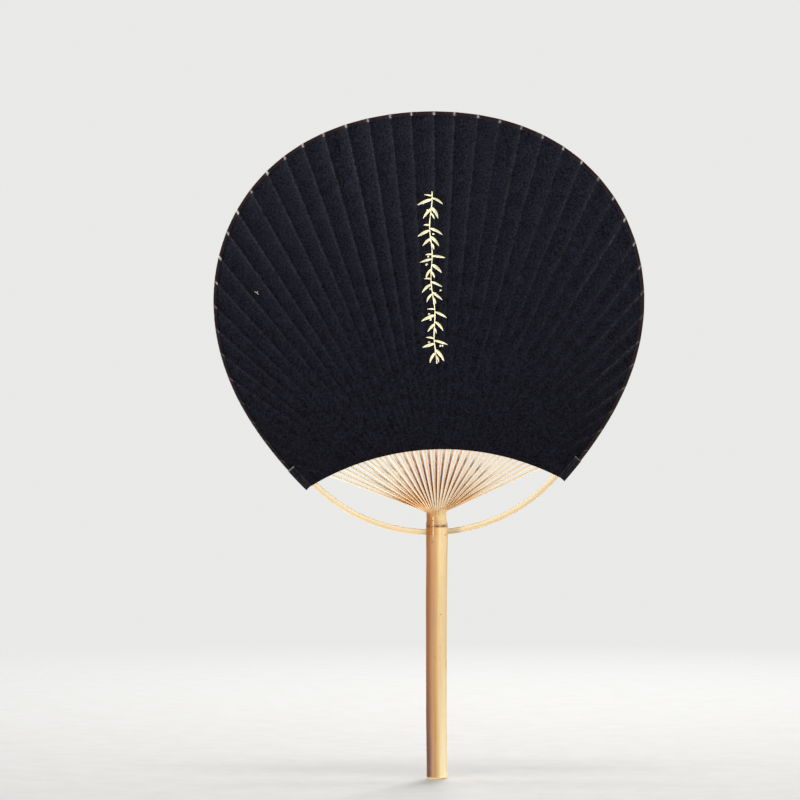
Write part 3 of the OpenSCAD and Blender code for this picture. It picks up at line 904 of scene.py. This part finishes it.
def make_bow():
    """The bow: a rounded strip along its line, paler along its upper edge, where a highlight is
    painted.
    """
    u = np.linspace(-BOW_REACH, BOW_REACH, 181)[:, None]
    section = rounded_section(16, 0.58)
    rings = in_head(*on_bow(u, section, 0))
    every = np.ones((len(u), 16))
    # The skin value here paints a highlight along the bow's upper edge
    values = {"skin_and_highlight": every * smooth((section[0] + 0.8) / 1.7),
              "way_up": every * mix(0.45, 1, smooth(np.abs(u) / 60)), "shade": every}
    bow = closed_sweep("bow_strip", rings, BOW, values)
    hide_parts("bow")


make_bow()


# The ribs


# How far a stave widens at its root to close the ring, over which length, and how far its end
# under the neck's top shrinks
ROOT_CLOSING = 0.022
CLOSING_LENGTH = 3
SUNK_SHARE = 0.9
# Ways from the neck: where a rib's edges are round, where its skin side begins to turn to the
# front, over which length, and where the cane's own colour ends
ROUND_WAY = 7
SKIN_TURN_WAY = 8
SKIN_TURN_LENGTH = 26
CANE_COLOUR_WAY = 6.5


def rib_centre_line(n):
    """The middle of rib n as arrays: place in the head, direction, way from the neck and v,
    the share of the way under the paper. It runs straight up, round its bend, straight to the
    paper and along the curve to its tip."""
    t, x = rib_t[n], rib_x[n]
    sign = np.sign(t)
    root = np.array([-0.5, -0.02, 0, 0.02, 0.4, 0.8, KNEE_START])
    a, bend_u, bend_w, bend_way = bend_arc(t, x, np.linspace(0, 1, 7)[1:])
    edge_u, edge_w = edge_point(t)
    straight = np.linspace(0, 1, 18)[1:-1]
    v = np.concatenate([np.linspace(0, 0.12, 8), np.linspace(0.12, 1, 30)[1:]])
    length = rib_length(t)
    v = np.minimum(v, 1 - (TIP_GAP + RIB_TIP_W / 4) / length)
    high_u, high_w = rib_curve(t, v)
    u = np.concatenate([np.full(7, np.abs(x)), bend_u,
                        mix(bend_u[-1], np.abs(edge_u), straight), np.abs(high_u)])
    w = np.concatenate([NECK_LENGTH + root, bend_w, mix(bend_w[-1], edge_w, straight), high_w])
    flat = np.concatenate([np.zeros(7), a, np.full(16, a[-1]), np.abs(rib_heading(t, v))])
    way = np.concatenate([root, bend_way, mix(bend_way[-1], rib_low[n], straight),
                          rib_low[n] + v * length])
    return sign * u, w, sign * flat, way, np.concatenate([np.zeros(29), v])


def make_rib(n):
    """Rib n: a stave of the cane's wall, thinned and turned flat as it rises. Its corners are
    sharp at the root, where the staves close up to a ring."""
    u, w, heading, way, v = rib_centre_line(n)
    angle = rib_stave[n]
    edge_on = abs(angle) > math.pi / 4
    turn = angle - math.pi / 2 * np.sign(angle) if edge_on else angle
    root_w, root_t = (STAVE_T, STAVE_W) if edge_on else (STAVE_W, STAVE_T)
    taper = (0, STAVE_TAPER * np.sign(angle)) if edge_on else (STAVE_TAPER, 0)
    thin = smooth(way / THIN_LENGTH)
    twist = (turn * (1 - smooth(way / TWIST_LENGTH)))[:, None]
    rising = mix(RIB_NECK_W, RIB_W, (way - THIN_LENGTH) / (rib_low[n] - THIN_LENGTH))
    half_w = np.where(way < THIN_LENGTH, mix(root_w, RIB_NECK_W, thin), rising) / 2
    half_w = np.where(v > 0, mix(RIB_W, RIB_TIP_W, v) / 2, half_w)
    half_t = np.where(v > 0, rib_half_t(v), mix(root_t, RIB_T, thin) / 2)
    half_w = half_w + ROOT_CLOSING * (1 - smooth(way / CLOSING_LENGTH))
    sink = np.where(way < 0, SUNK_SHARE, 1)
    c, s = rounded_section(12, mix(0.85, 0.5, smooth(way / ROUND_WAY))[:, None])
    straight = 1 - thin[:, None]
    across = c * (half_w * sink)[:, None] * (1 - taper[0] * straight * s)
    deep = s * (half_t * sink)[:, None] * (1 + taper[1] * straight * c)
    nu, nw = np.cos(heading)[:, None], -np.sin(heading)[:, None]
    in_plane = across * np.cos(twist) - deep * np.sin(twist)
    depth = across * np.sin(twist) + deep * np.cos(twist)
    y = rib_side[n] * (depth - rib_depth(n, np.maximum(way, 0))[:, None])
    rings = in_head(u[:, None] + in_plane * nu, y, w[:, None] + in_plane * nw)
    outer = c * np.sign(angle) if edge_on else -s
    facing = -s if rib_side[n] > 0 else s
    turned = smooth((way - SKIN_TURN_WAY) / SKIN_TURN_LENGTH)[:, None]
    skin_and_highlight = mix(smooth(0.5 + 0.6 * outer), smooth(0.66 + 0.3 * facing), turned)
    root = (1 - smooth((way - 0.5) / (CANE_COLOUR_WAY - 0.5)))[:, None]
    # How much of a rear rib takes the darker tones, painted shade from the ribs in front over its
    # split faces: most near the middle
    rear_split_and_shade = mix(1, 0.15, smooth((abs(rib_t[n]) - 0.2) / 0.5)) if rib_side[n] < 0 else 0
    every = np.ones(skin_and_highlight.shape)
    values = {"skin_and_highlight": skin_and_highlight, "way_up": every * (way / rib_low[n])[:, None],
              "shade": every * random.uniform(0.93, 1.05), "root": every * root,
              "rear_split_and_shade": every * rear_split_and_shade}
    rib = closed_sweep(f"rib_strip_{n + 1:02d}", rings, RIB, values)
    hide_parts(f"rib_{n + 1:02d}")


for number in range(RIB_COUNT):
    make_rib(number)


# The paper


def gap_and_share(t):
    """For each place t: the rib to its left and its share of the way to the next rib."""
    left = np.clip(np.searchsorted(rib_t, t, side="right") - 1, 0, RIB_COUNT - 2)
    share = (t - rib_t[left]) / (rib_t[left + 1] - rib_t[left])
    return left, np.clip(share, 0, 1)


# Least height of a leaf and its height in the corners, its room over a rib, the share of a
# rib's half width that it lies flat on, and the half width of its shoulder beside it
GLUE = 0.03
CORNER_HEIGHT = GLUE + 0.1
HUG = 0.22
FLAT_SHARE = 0.45
SHOULDER = 0.65
# Its fall between ribs by the gap squared, the width of its fall outside the outermost ribs,
# its sag in a gap of 9 mm, its pucker, and its rise over the thread
VALLEY = 0.0085
OUTER_FALL = 4.5
SAG_GAP = 9
SAG = 0.46
PUCKER = 0.1
THREAD_RISE = 0.13
# The relief's strength, and how pale its crests are, partly as wear and partly as a painted
# highlight, by the rib's place
RELIEF = ((-1, 0.05), (-0.85, 0.15), (-0.52, 1), (-0.1, 1.2), (0.12, 0.85), (0.35, 1.1),
          (0.55, 1.9), (0.75, 2.1), (1, 1.2))
CREST_WEAR_AND_HIGHLIGHT = ((-1, 0), (-0.7, 0.1), (-0.45, 0.25), (-0.1, 0.2), (0.15, 0.08), (0.35, 0.12),
          (0.6, 0.26), (0.8, 0.18), (1, 0.03))
UNEVEN = 1 + 0.3 * np.sin(2.4 * np.arange(RIB_COUNT) ** 1.3)
# The lump over the bow's end: its length, height, half width and the width of its slope
LUMP_LENGTH = 9
LUMP_HEIGHT = 0.68
LUMP_HALF = 1.7
LUMP_SLOPE = 3.2
# The fold beside each outermost rib: its distance from the rib, half width and lengths, the second
# of them for its painted shadow
FOLD_OFFSET = 1.4
FOLD_HALF = 0.8
FOLD_LENGTH = 5
FOLD_SHADE_LENGTH = 10
FOLD_HEIGHT = 0.45
FOLD_FADE = 3
# Half width of the pale line over a rib, partly wear and partly a painted highlight
CREST_WEAR_AND_HIGHLIGHT_HALF = 0.6
# Places of the columns in each gap between ribs, closer beside the ribs
LEAF_SHARES = np.array([0, 0.02, 0.045, 0.075, 0.11, 0.16, 0.24, 0.36, 0.5, 0.64, 0.76, 0.84,
                        0.89, 0.925, 0.955, 0.98])
TRIM_SHARES = np.array([0, 0.02, 0.045, 0.08, 0.14, 0.25, 0.5, 0.75, 0.86, 0.92, 0.955, 0.98])
waves = random.uniform(-1, 1, (9, 2))
waves = waves / np.linalg.norm(waves, axis=1)[:, None] * TURN / random.uniform(9, 34, 9)[:, None]
wave_start = random.uniform(0, TURN, 9)


def pucker(u, w):
    """A soft uneven swell of the paper, mostly from -1 to 1: nine waves in random directions."""
    phase = u[..., None] * waves[:, 0] + w[..., None] * waves[:, 1] + wave_start
    return np.sin(phase).sum(-1) / 4


def rib_top(n, v, side):
    """Height of a leaf's inner face over rib n, on the leaf's side, at v."""
    depth = rib_depth(n, rib_low[n] + v * rib_length(rib_t[n]))
    return np.maximum(rib_half_t(v) + HUG + side * rib_side[n] * depth, GLUE)


def over_bow_end(u, w):
    """Height of the lump over the bow's end and its lashing, by the distance to the line."""
    us = np.linspace(BOW_REACH - LUMP_LENGTH, BOW_REACH, 24)
    line = np.hypot(np.abs(u)[..., None] - us, w[..., None] - bow_line(us)).min(-1)
    return LUMP_HEIGHT * (1 - smooth((line - LUMP_HALF) / LUMP_SLOPE))


EAR_LOW_A = CORNER_A + math.radians(0.3)
EAR_TOP_A = EAR_LOW_A - EAR_LENGTH / math.hypot(CORNER_U, CORNER_W - HEAD_HEIGHT)


def rib_distance(t, v):
    """The rib to the left of a place, the place's share of the way to the next one, and how
    far it is from both, square to them."""
    u, w = rib_curve(t, v)
    heading = rib_heading(t, v)
    left, share = gap_and_share(t)
    across = []
    for n in (left, left + 1):
        ru, rw = rib_curve(rib_t[n], v)
        across.append(np.abs((u - ru) * np.cos(heading) - (w - rw) * np.sin(heading)))
    return left, share, across[0], across[1]


def end_fold(t, v, near, length):
    """Nearness to the fold that the paper makes just outside each outermost rib, from the rim
    inwards: a bell of the distance to a line beside the rib, faded out by its length."""
    inset = (1 - v) * rib_length(t)
    fade = 1 - smooth((inset - length) / FOLD_FADE + 1)
    return bell(near - FOLD_OFFSET, FOLD_HALF) * fade * (np.abs(t) > 1)


def leaf_height(t, v, side):
    """Place in the head, height of a leaf's inner face, and the swell of both leaves to the
    back. Over a rib the height is the rib's own. Between ribs it sinks in a tent that is sharp
    at the rib, with a narrow shoulder, by as much as the gap allows, and the sheet sags evenly
    to the back and swells a little. Beyond the outermost ribs it falls to the other leaf, but
    for the bow's end."""
    u, w = rib_curve(t, v)
    left, share, from_left, from_right = rib_distance(t, v)
    gap = from_left + from_right
    outside = np.abs(t) > 1
    near = np.minimum(from_left, from_right)
    top = mix(rib_top(left, v, side), rib_top(left + 1, v, side), share)
    half_w = mix(RIB_W, RIB_TIP_W, v) / 2
    far = np.maximum(near - FLAT_SHARE * half_w, 0)
    reach = np.where(outside, OUTER_FALL, np.maximum(gap / 2 - FLAT_SHARE * half_w, 0.1))
    tent = 0.5 * np.clip(1 - far / reach, 0, 1) ** 2 + 0.5 * bell(far, SHOULDER)
    floor = np.where(outside, CORNER_HEIGHT, GLUE)
    relief = by_table(t, RELIEF) * (0.22 + 0.78 * smooth((v - 0.15) / 0.75))
    relief = relief * mix(UNEVEN[left], UNEVEN[left + 1], share)
    inside_fall = np.minimum(top - floor, VALLEY * gap**2) * np.minimum(0.25 + 0.75 * relief, 1)
    fall = np.where(outside, top - floor, inside_fall)
    room = top - fall * (1 - tent)
    edge_way = v * rib_length(t)
    room = room + np.where(outside, 0, THREAD_RISE) * (1 - smooth((edge_way - 5) / 12))
    room = np.maximum(room, np.where(outside, over_bow_end(u, w), 0))
    sag = 4 * share * (1 - share) * gap / SAG_GAP * relief * np.where(outside, 0, SAG)
    swell = PUCKER * pucker(u, w) * (1 - tent) * np.where(outside, 0.6, 1) + sag
    swell = swell + FOLD_HEIGHT * end_fold(t, v, near, FOLD_LENGTH)
    swell = swell * (1 - smooth(over_bow_end(u, w) / 0.1))
    return u, w, room, swell


def leaf_columns(shares, corner_steps):
    """The places of the columns: the shares of each gap between ribs, and the corners."""
    steps = np.diff(rib_t)[:, None] * shares
    inner = (rib_t[:-1, None] + steps).ravel()
    outer = 1 + np.linspace(0, 1, corner_steps + 1) ** 1.3
    return np.concatenate([-outer[::-1], inner[1:], outer])


def make_leaf(name, node, side):
    """A leaf of paper: outer and inner face over the columns of the ribs, closed round."""
    t = leaf_columns(LEAF_SHARES, 34)
    v = np.concatenate([[0, 0.003], np.linspace(0.012, 0.985, 58), [0.994, 1]])
    u, w, room, swell = leaf_height(t[:, None], v[None, :], side)
    outer = in_head(u, -side * (room + PAPER_T) + swell, w)
    inner = in_head(u, -side * room + swell, w)
    left, share, from_left, from_right = rib_distance(t[:, None], v[None, :])
    near = np.minimum(from_left, from_right)
    strength = by_table(t, CREST_WEAR_AND_HIGHLIGHT)
    # Pale crests over the ribs: partly wear and partly a painted highlight
    rubbed = bell(near, CREST_WEAR_AND_HIGHLIGHT_HALF) * smooth((v - 0.5) / 0.5) * strength[:, None]
    rubbed = rubbed * mix(UNEVEN[left], UNEVEN[left + 1], share) ** 2
    # Painted shadow in the fold beside each outermost rib
    values = outer_values(rubbed=rubbed, fold=end_fold(t[:, None], v, near, FOLD_SHADE_LENGTH))
    leaf = closed_sweep(name, shell_rings(outer, inner), WASHI, values)
    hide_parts(node)
    return outer


front_face = make_leaf("front_leaf", "front_paper", 1)
make_leaf("back_leaf", "back_paper", -1)


def rim_section(inset_steps, fold_steps):
    """The trim's section as a ring: insets from the rim's edge and heights, first outside from
    the front flap round the fold to the back, then back inside. A height of 1 or -1 is the
    flap's own height, and the fold goes over in a half circle."""
    flap = np.linspace(1, 0, inset_steps)
    a = np.linspace(0, math.pi, fold_steps + 2)[1:-1]
    inset = np.concatenate([flap, np.zeros(fold_steps), flap[::-1]])
    bulge = np.concatenate([np.zeros(inset_steps), np.sin(a), np.zeros(inset_steps)])
    height = np.concatenate([np.ones(inset_steps), np.cos(a), -np.ones(inset_steps)])
    return inset, bulge, height


def fold_rings(point, normal, half, swell, section, sizes, side=1):
    """Rings of a strip folded over the rim. Its outer face lies its thickness over the inner
    one, and its fold stands out along the rim's normal by a gap, by the share of its bulge."""
    u, w = point
    nu, nw = normal[0][:, None], normal[1][:, None]
    inset, bulge, height = section
    thickness, gap, edge_share = sizes
    reach = np.where(bulge > 0, 0.35 + 0.65 * bulge, np.where(inset == 0, edge_share, 0))
    faces = []
    for thick in (thickness, 0):
        push = (gap + thick) * reach
        depth = swell - (half + thick) * height
        faces.append(in_head(side * (u + push * nu), depth, w + push * nw))
    return shell_rings(*faces)


# The two folded strips: thickness, the fold's gap to the rim, and the share of its push
# outwards where the flaps meet the fold
TRIM_SIZES = (TRIM_T, 0.03, 0.2)
EAR_SIZES = (EAR_T, 0.3, 0.3)
EAR_FIT = 0.03
# About the distance between the ribs' tips
TIP_SPACING = 12.5
# Wear by the rim's angle in degrees: the ticks at the ribs' tips, the crest, and the brown
TICKS = ((-118, 0.08), (-84, 0.2), (-66, 0.9), (-45, 1.3), (-8, 0.9), (30, 0.75), (62, 0.6),
         (84, 0.3), (118, 0.12))
CREST = ((-126, 0.5), (-112, 0.95), (-75, 0.95), (-40, 0.2), (0, 0.3), (40, 0.15), (75, 0.8),
         (108, 0.9), (126, 0.5))
BROWN = ((-126, 0.1), (-80, 0.25), (-50, 0.8), (0, 0.9), (50, 0.8), (90, 0.75), (126, 0.75))


def make_trim():
    """The trim: a strip folded over the rim that lies on both leaves and follows their relief.
    It is worn pale where the ribs' tips press through, and along the crest of the fold."""
    t = leaf_columns(TRIM_SHARES, 24)
    section = rim_section(5, 5)
    inset, bulge, height = section
    rim_u, rim_w = rib_curve(t, 1)
    nu, nw = rim_normal(rim_a(t))
    pu, pw = rib_curve(t, 0.9)
    inset_per_v = np.maximum((rim_u - pu) * nu + (rim_w - pw) * nw, 0.3) / 0.1
    v = 1 - np.minimum(inset * TRIM_W / inset_per_v[:, None], 0.9)
    u, w, front, swell = leaf_height(t[:, None], v, 1)
    back = leaf_height(t[:, None], v, -1)[2]
    room = np.where(height > 0, front, back)
    room = np.where(bulge > 0, (front + back) / 2, room)
    half = room + PAPER_T + TRIM_FIT
    rings = fold_rings((u, w), (nu, nw), half, swell, section, TRIM_SIZES)
    tick = np.zeros_like(u)
    strength = random.uniform(0.7, 1.3, RIB_COUNT)
    strength = strength * by_table(np.degrees(rim_a(rib_t)), TICKS)
    left, share = gap_and_share(t)
    for n, part in ((left, share), (left + 1, 1 - share)):
        tick = np.maximum(tick, (strength[n] * bell(part * TIP_SPACING, 0.5))[:, None])
    tick = np.where((np.abs(t) <= 1)[:, None], tick, 0) * np.where(inset > 0.95, 0.6, 1)
    angle = np.degrees(rim_a(t))
    ragged = 0.5 + 0.5 * np.sin(t * 31 + 1.3) * np.sin(t * 77)
    rubbed = by_table(angle, CREST) * (0.6 + 0.4 * ragged)
    worn = np.maximum(tick, rubbed[:, None] * np.where(bulge > 0.4, 1, 0))
    brown = by_table(angle, BROWN)[:, None] * (1 - 0.75 * inset)
    trim = closed_sweep("rim_trim", rings, TRIM, outer_values(worn=worn, brown=brown))
    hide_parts("edge_trim")


make_trim()


def make_ear(name, node, side):
    """An ear: a strip folded round the lowest stretch of the rim, over the trim. It follows
    the lump over the bow's end, and steps down past the trim's edge."""
    a = np.linspace(EAR_TOP_A, EAR_LOW_A, 34)
    section = rim_section(9, 5)
    inset, bulge, _ = section
    inset_way = inset * EAR_W
    u, w = rim_point(a[:, None], inset_way + PAPER_INSET)
    base = np.maximum(CORNER_HEIGHT, over_bow_end(u, w)) + PAPER_T
    over_trim = TRIM_FIT + TRIM_T + 0.04
    step = over_trim * (1 - smooth((inset_way - TRIM_W + 0.1) / 0.7)) + EAR_FIT
    rings = fold_rings((u, w), rim_normal(a), base + step, 0, section, EAR_SIZES, side)
    upper_edge = bell((a - EAR_TOP_A) * HEAD_R, 0.6)[:, None]
    worn = np.maximum(np.where(bulge > 0.6, 0.4, np.where(inset > 0.95, 0.08, 0)), upper_edge)
    ear = closed_sweep(name, rings, EAR, outer_values(worn=worn))
    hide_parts(node)


make_ear("left_ear", "ear_left", -1)
make_ear("right_ear", "ear_right", 1)


# The thread and the lashings


def cord_rings(points, radius, sides):
    """Round rings of the given radius across a path, in each point's own normal plane."""
    ahead = np.gradient(points, axis=0)
    ahead /= np.linalg.norm(ahead, axis=1)[:, None]
    first = np.cross(ahead, np.broadcast_to([0.0, 1.0, 0.0], ahead.shape))
    first /= np.linalg.norm(first, axis=1)[:, None]
    second = np.cross(ahead, first)
    a = (np.arange(sides) + 0.5) * TURN / sides
    return points[:, None] + radius * (first[:, None] * np.cos(a)[:, None]
                                       + second[:, None] * np.sin(a)[:, None])


def make_thread():
    """The weaving thread: an arc beside the paper's lower edge that passes the ribs in turn
    in front and behind, as a wave with one half length per gap."""
    t = np.concatenate([np.linspace(-1.55, -1, 16)[:-1], np.interp(
        np.linspace(0, RIB_COUNT - 1, 14 * (RIB_COUNT - 1) + 1), np.arange(RIB_COUNT), rib_t),
        np.linspace(1, 1.55, 16)[1:]])
    v = thread_way(t) / rib_length(t)
    u, w = rib_curve(t, v)
    place = np.interp(t, rib_t, np.arange(RIB_COUNT))
    swing = rib_half_t(v) + THREAD_D / 2 + 0.01
    y = swing * np.cos(math.pi * place) * (1 - smooth((np.abs(t) - 1) / 0.2))
    thread = closed_sweep("woven_thread", cord_rings(in_head(u, y, w), THREAD_D / 2, 8), THREAD)
    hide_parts("weaving_thread")


make_thread()


def make_lashing(name, node, side):
    """A lashing: thread wound round the bow's end in close turns, along the bow's section."""
    turns = np.linspace(0, LASHING_TURNS, LASHING_TURNS * 28 + 1)
    along = (turns / LASHING_TURNS - 0.5) * (LASHING_LENGTH - 0.3)
    us = LASHING_U + along * math.cos(bow_slope(LASHING_U))
    u, y, w = on_bow(us, squared_circle(turns * TURN, 0.5), 0.1)
    rings = cord_rings(in_head(side * u, y, w), LASHING_D / 2, 6)
    lashing = closed_sweep(name, rings, THREAD)
    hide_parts(node)


make_lashing("wound_lashing_left", "lashing_left", -1)
make_lashing("wound_lashing_right", "lashing_right", 1)

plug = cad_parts["handle_plug"]
plug.data.materials.clear()
plug.data.materials.append(WILLOW)


# The gilt sprig and a stray fibre


def brush_stroke(x, z, length, width, heading, bend, lean=0.75):
    """A narrow stroke on the front leaf: half widths as a sine that leans to the base, along a
    line that bends evenly. Gives its middle line, its headings and its half widths."""
    k = np.linspace(0, 1, 15)
    turned = heading + bend * k
    step = length / 14
    u = x + np.concatenate([[0], np.cumsum(np.sin(turned[:-1]))]) * step
    w = z + np.concatenate([[0], np.cumsum(np.cos(turned[:-1]))]) * step
    return u, w, turned, width / 2 * np.sin(math.pi * k**lean) ** 0.8 + 0.06


# The groups of leaves along the stem, from the top: x and z
SPRIG_NODES = ((-3.5, 270), (-3.6, 252.7), (-3.4, 235.8), (-2.4, 220.8), (-1.7, 203.4),
               (-0.6, 187.1))
# The leaves of a group: side, rise over its middle, length, angle from up in degrees and width
SPRIG_LEAVES = ((1, 4.2, 8.2, 100, 1.5), (-1, 3.0, 8.6, 112, 1.6), (1, -0.8, 8.2, 124, 1.6),
                (-1, -2.4, 7, 134, 1.4), (-1, 5.8, 4.2, 76, 0.9), (1, -4.6, 4, 146, 0.9))


def sprig_strokes():
    """The strokes of a small generic sprig: one thin hanging stem, and six groups of drooping
    leaves with small buds."""
    node_x, node_z = np.array(SPRIG_NODES).T
    stem_z = np.linspace(278, 178, 70)
    stem_x = np.interp(-stem_z, -node_z, node_x) + 0.7 * np.sin(stem_z / 5.3)
    heading = np.arctan2(np.gradient(stem_x), np.gradient(stem_z))
    strokes = [(stem_x, stem_z, heading, 0.2 + 0.16 * np.sin(stem_z / 2.9) ** 2)]
    for high in node_z:
        for side, rise, length, angle, width in SPRIG_LEAVES:
            z = high + rise + random.uniform(-0.6, 0.6)
            x = float(np.interp(z, stem_z[::-1], stem_x[::-1]))
            lean = side * math.radians(angle + random.uniform(-12, 12))
            long = length * random.uniform(0.85, 1.12)
            strokes.append(brush_stroke(x, z, long, width * random.uniform(0.8, 1.15), lean,
                                        side * random.uniform(0.1, 0.7)))
        for _ in range(3):
            x = float(np.interp(high, stem_z[::-1], stem_x[::-1])) + random.uniform(-6, 6)
            strokes.append(brush_stroke(x, high + random.uniform(-6, 5), 1.3, 0.8,
                                        random.uniform(0, TURN), 0.4))
    return strokes


def make_strokes(name, strokes, material, lift):
    """Strokes as thin flat shapes on the paper's face, whose height is taken from the nearest
    points of the leaf."""
    points, faces, count = [], [], 0
    across = np.linspace(-1, 1, 6)
    for x, z, heading, half in strokes:
        grid = front_face.reshape(-1, 3)
        reach = 3 + np.ptp(x) + np.ptp(z)
        grid = grid[np.hypot(grid[:, 0] - x.mean(), grid[:, 2] - z.mean()) < reach]
        px = x[:, None] + across * (half * np.cos(heading))[:, None]
        pz = z[:, None] - across * (half * np.sin(heading))[:, None]
        far = np.hypot(px[..., None] - grid[:, 0], pz[..., None] - grid[:, 2])
        near = np.argpartition(far, 4, axis=-1)[..., :4]
        share = 1 / (np.take_along_axis(far, near, -1) + 0.05)
        face_y = (grid[near, 1] * share).sum(-1) / share.sum(-1)
        rise = lift * (0.5 + 0.5 * (1 - across**2))
        rings = shell_rings(np.stack([px, face_y - rise, pz], -1),
                            np.stack([px, face_y + 0.02, pz], -1))
        points.append(rings.reshape(-1, 3))
        faces.append(sweep_faces(*rings.shape[:2]) + count)
        count += len(points[-1])
    make_piece(name, np.concatenate(points), np.concatenate(faces), material)


make_strokes("gilt_sprig", sprig_strokes(), GILT, 0.06)

FIBRE_X, FIBRE_Z = -104.4, 219
fibre_arms = [brush_stroke(FIBRE_X, FIBRE_Z, long, 0.28, math.radians(way), 0.3, 1)
              for long, way in ((1.9, -62), (1.3, 20), (1.5, 128))]
make_strokes("stray_fibre", fibre_arms, THREAD, 0.08)
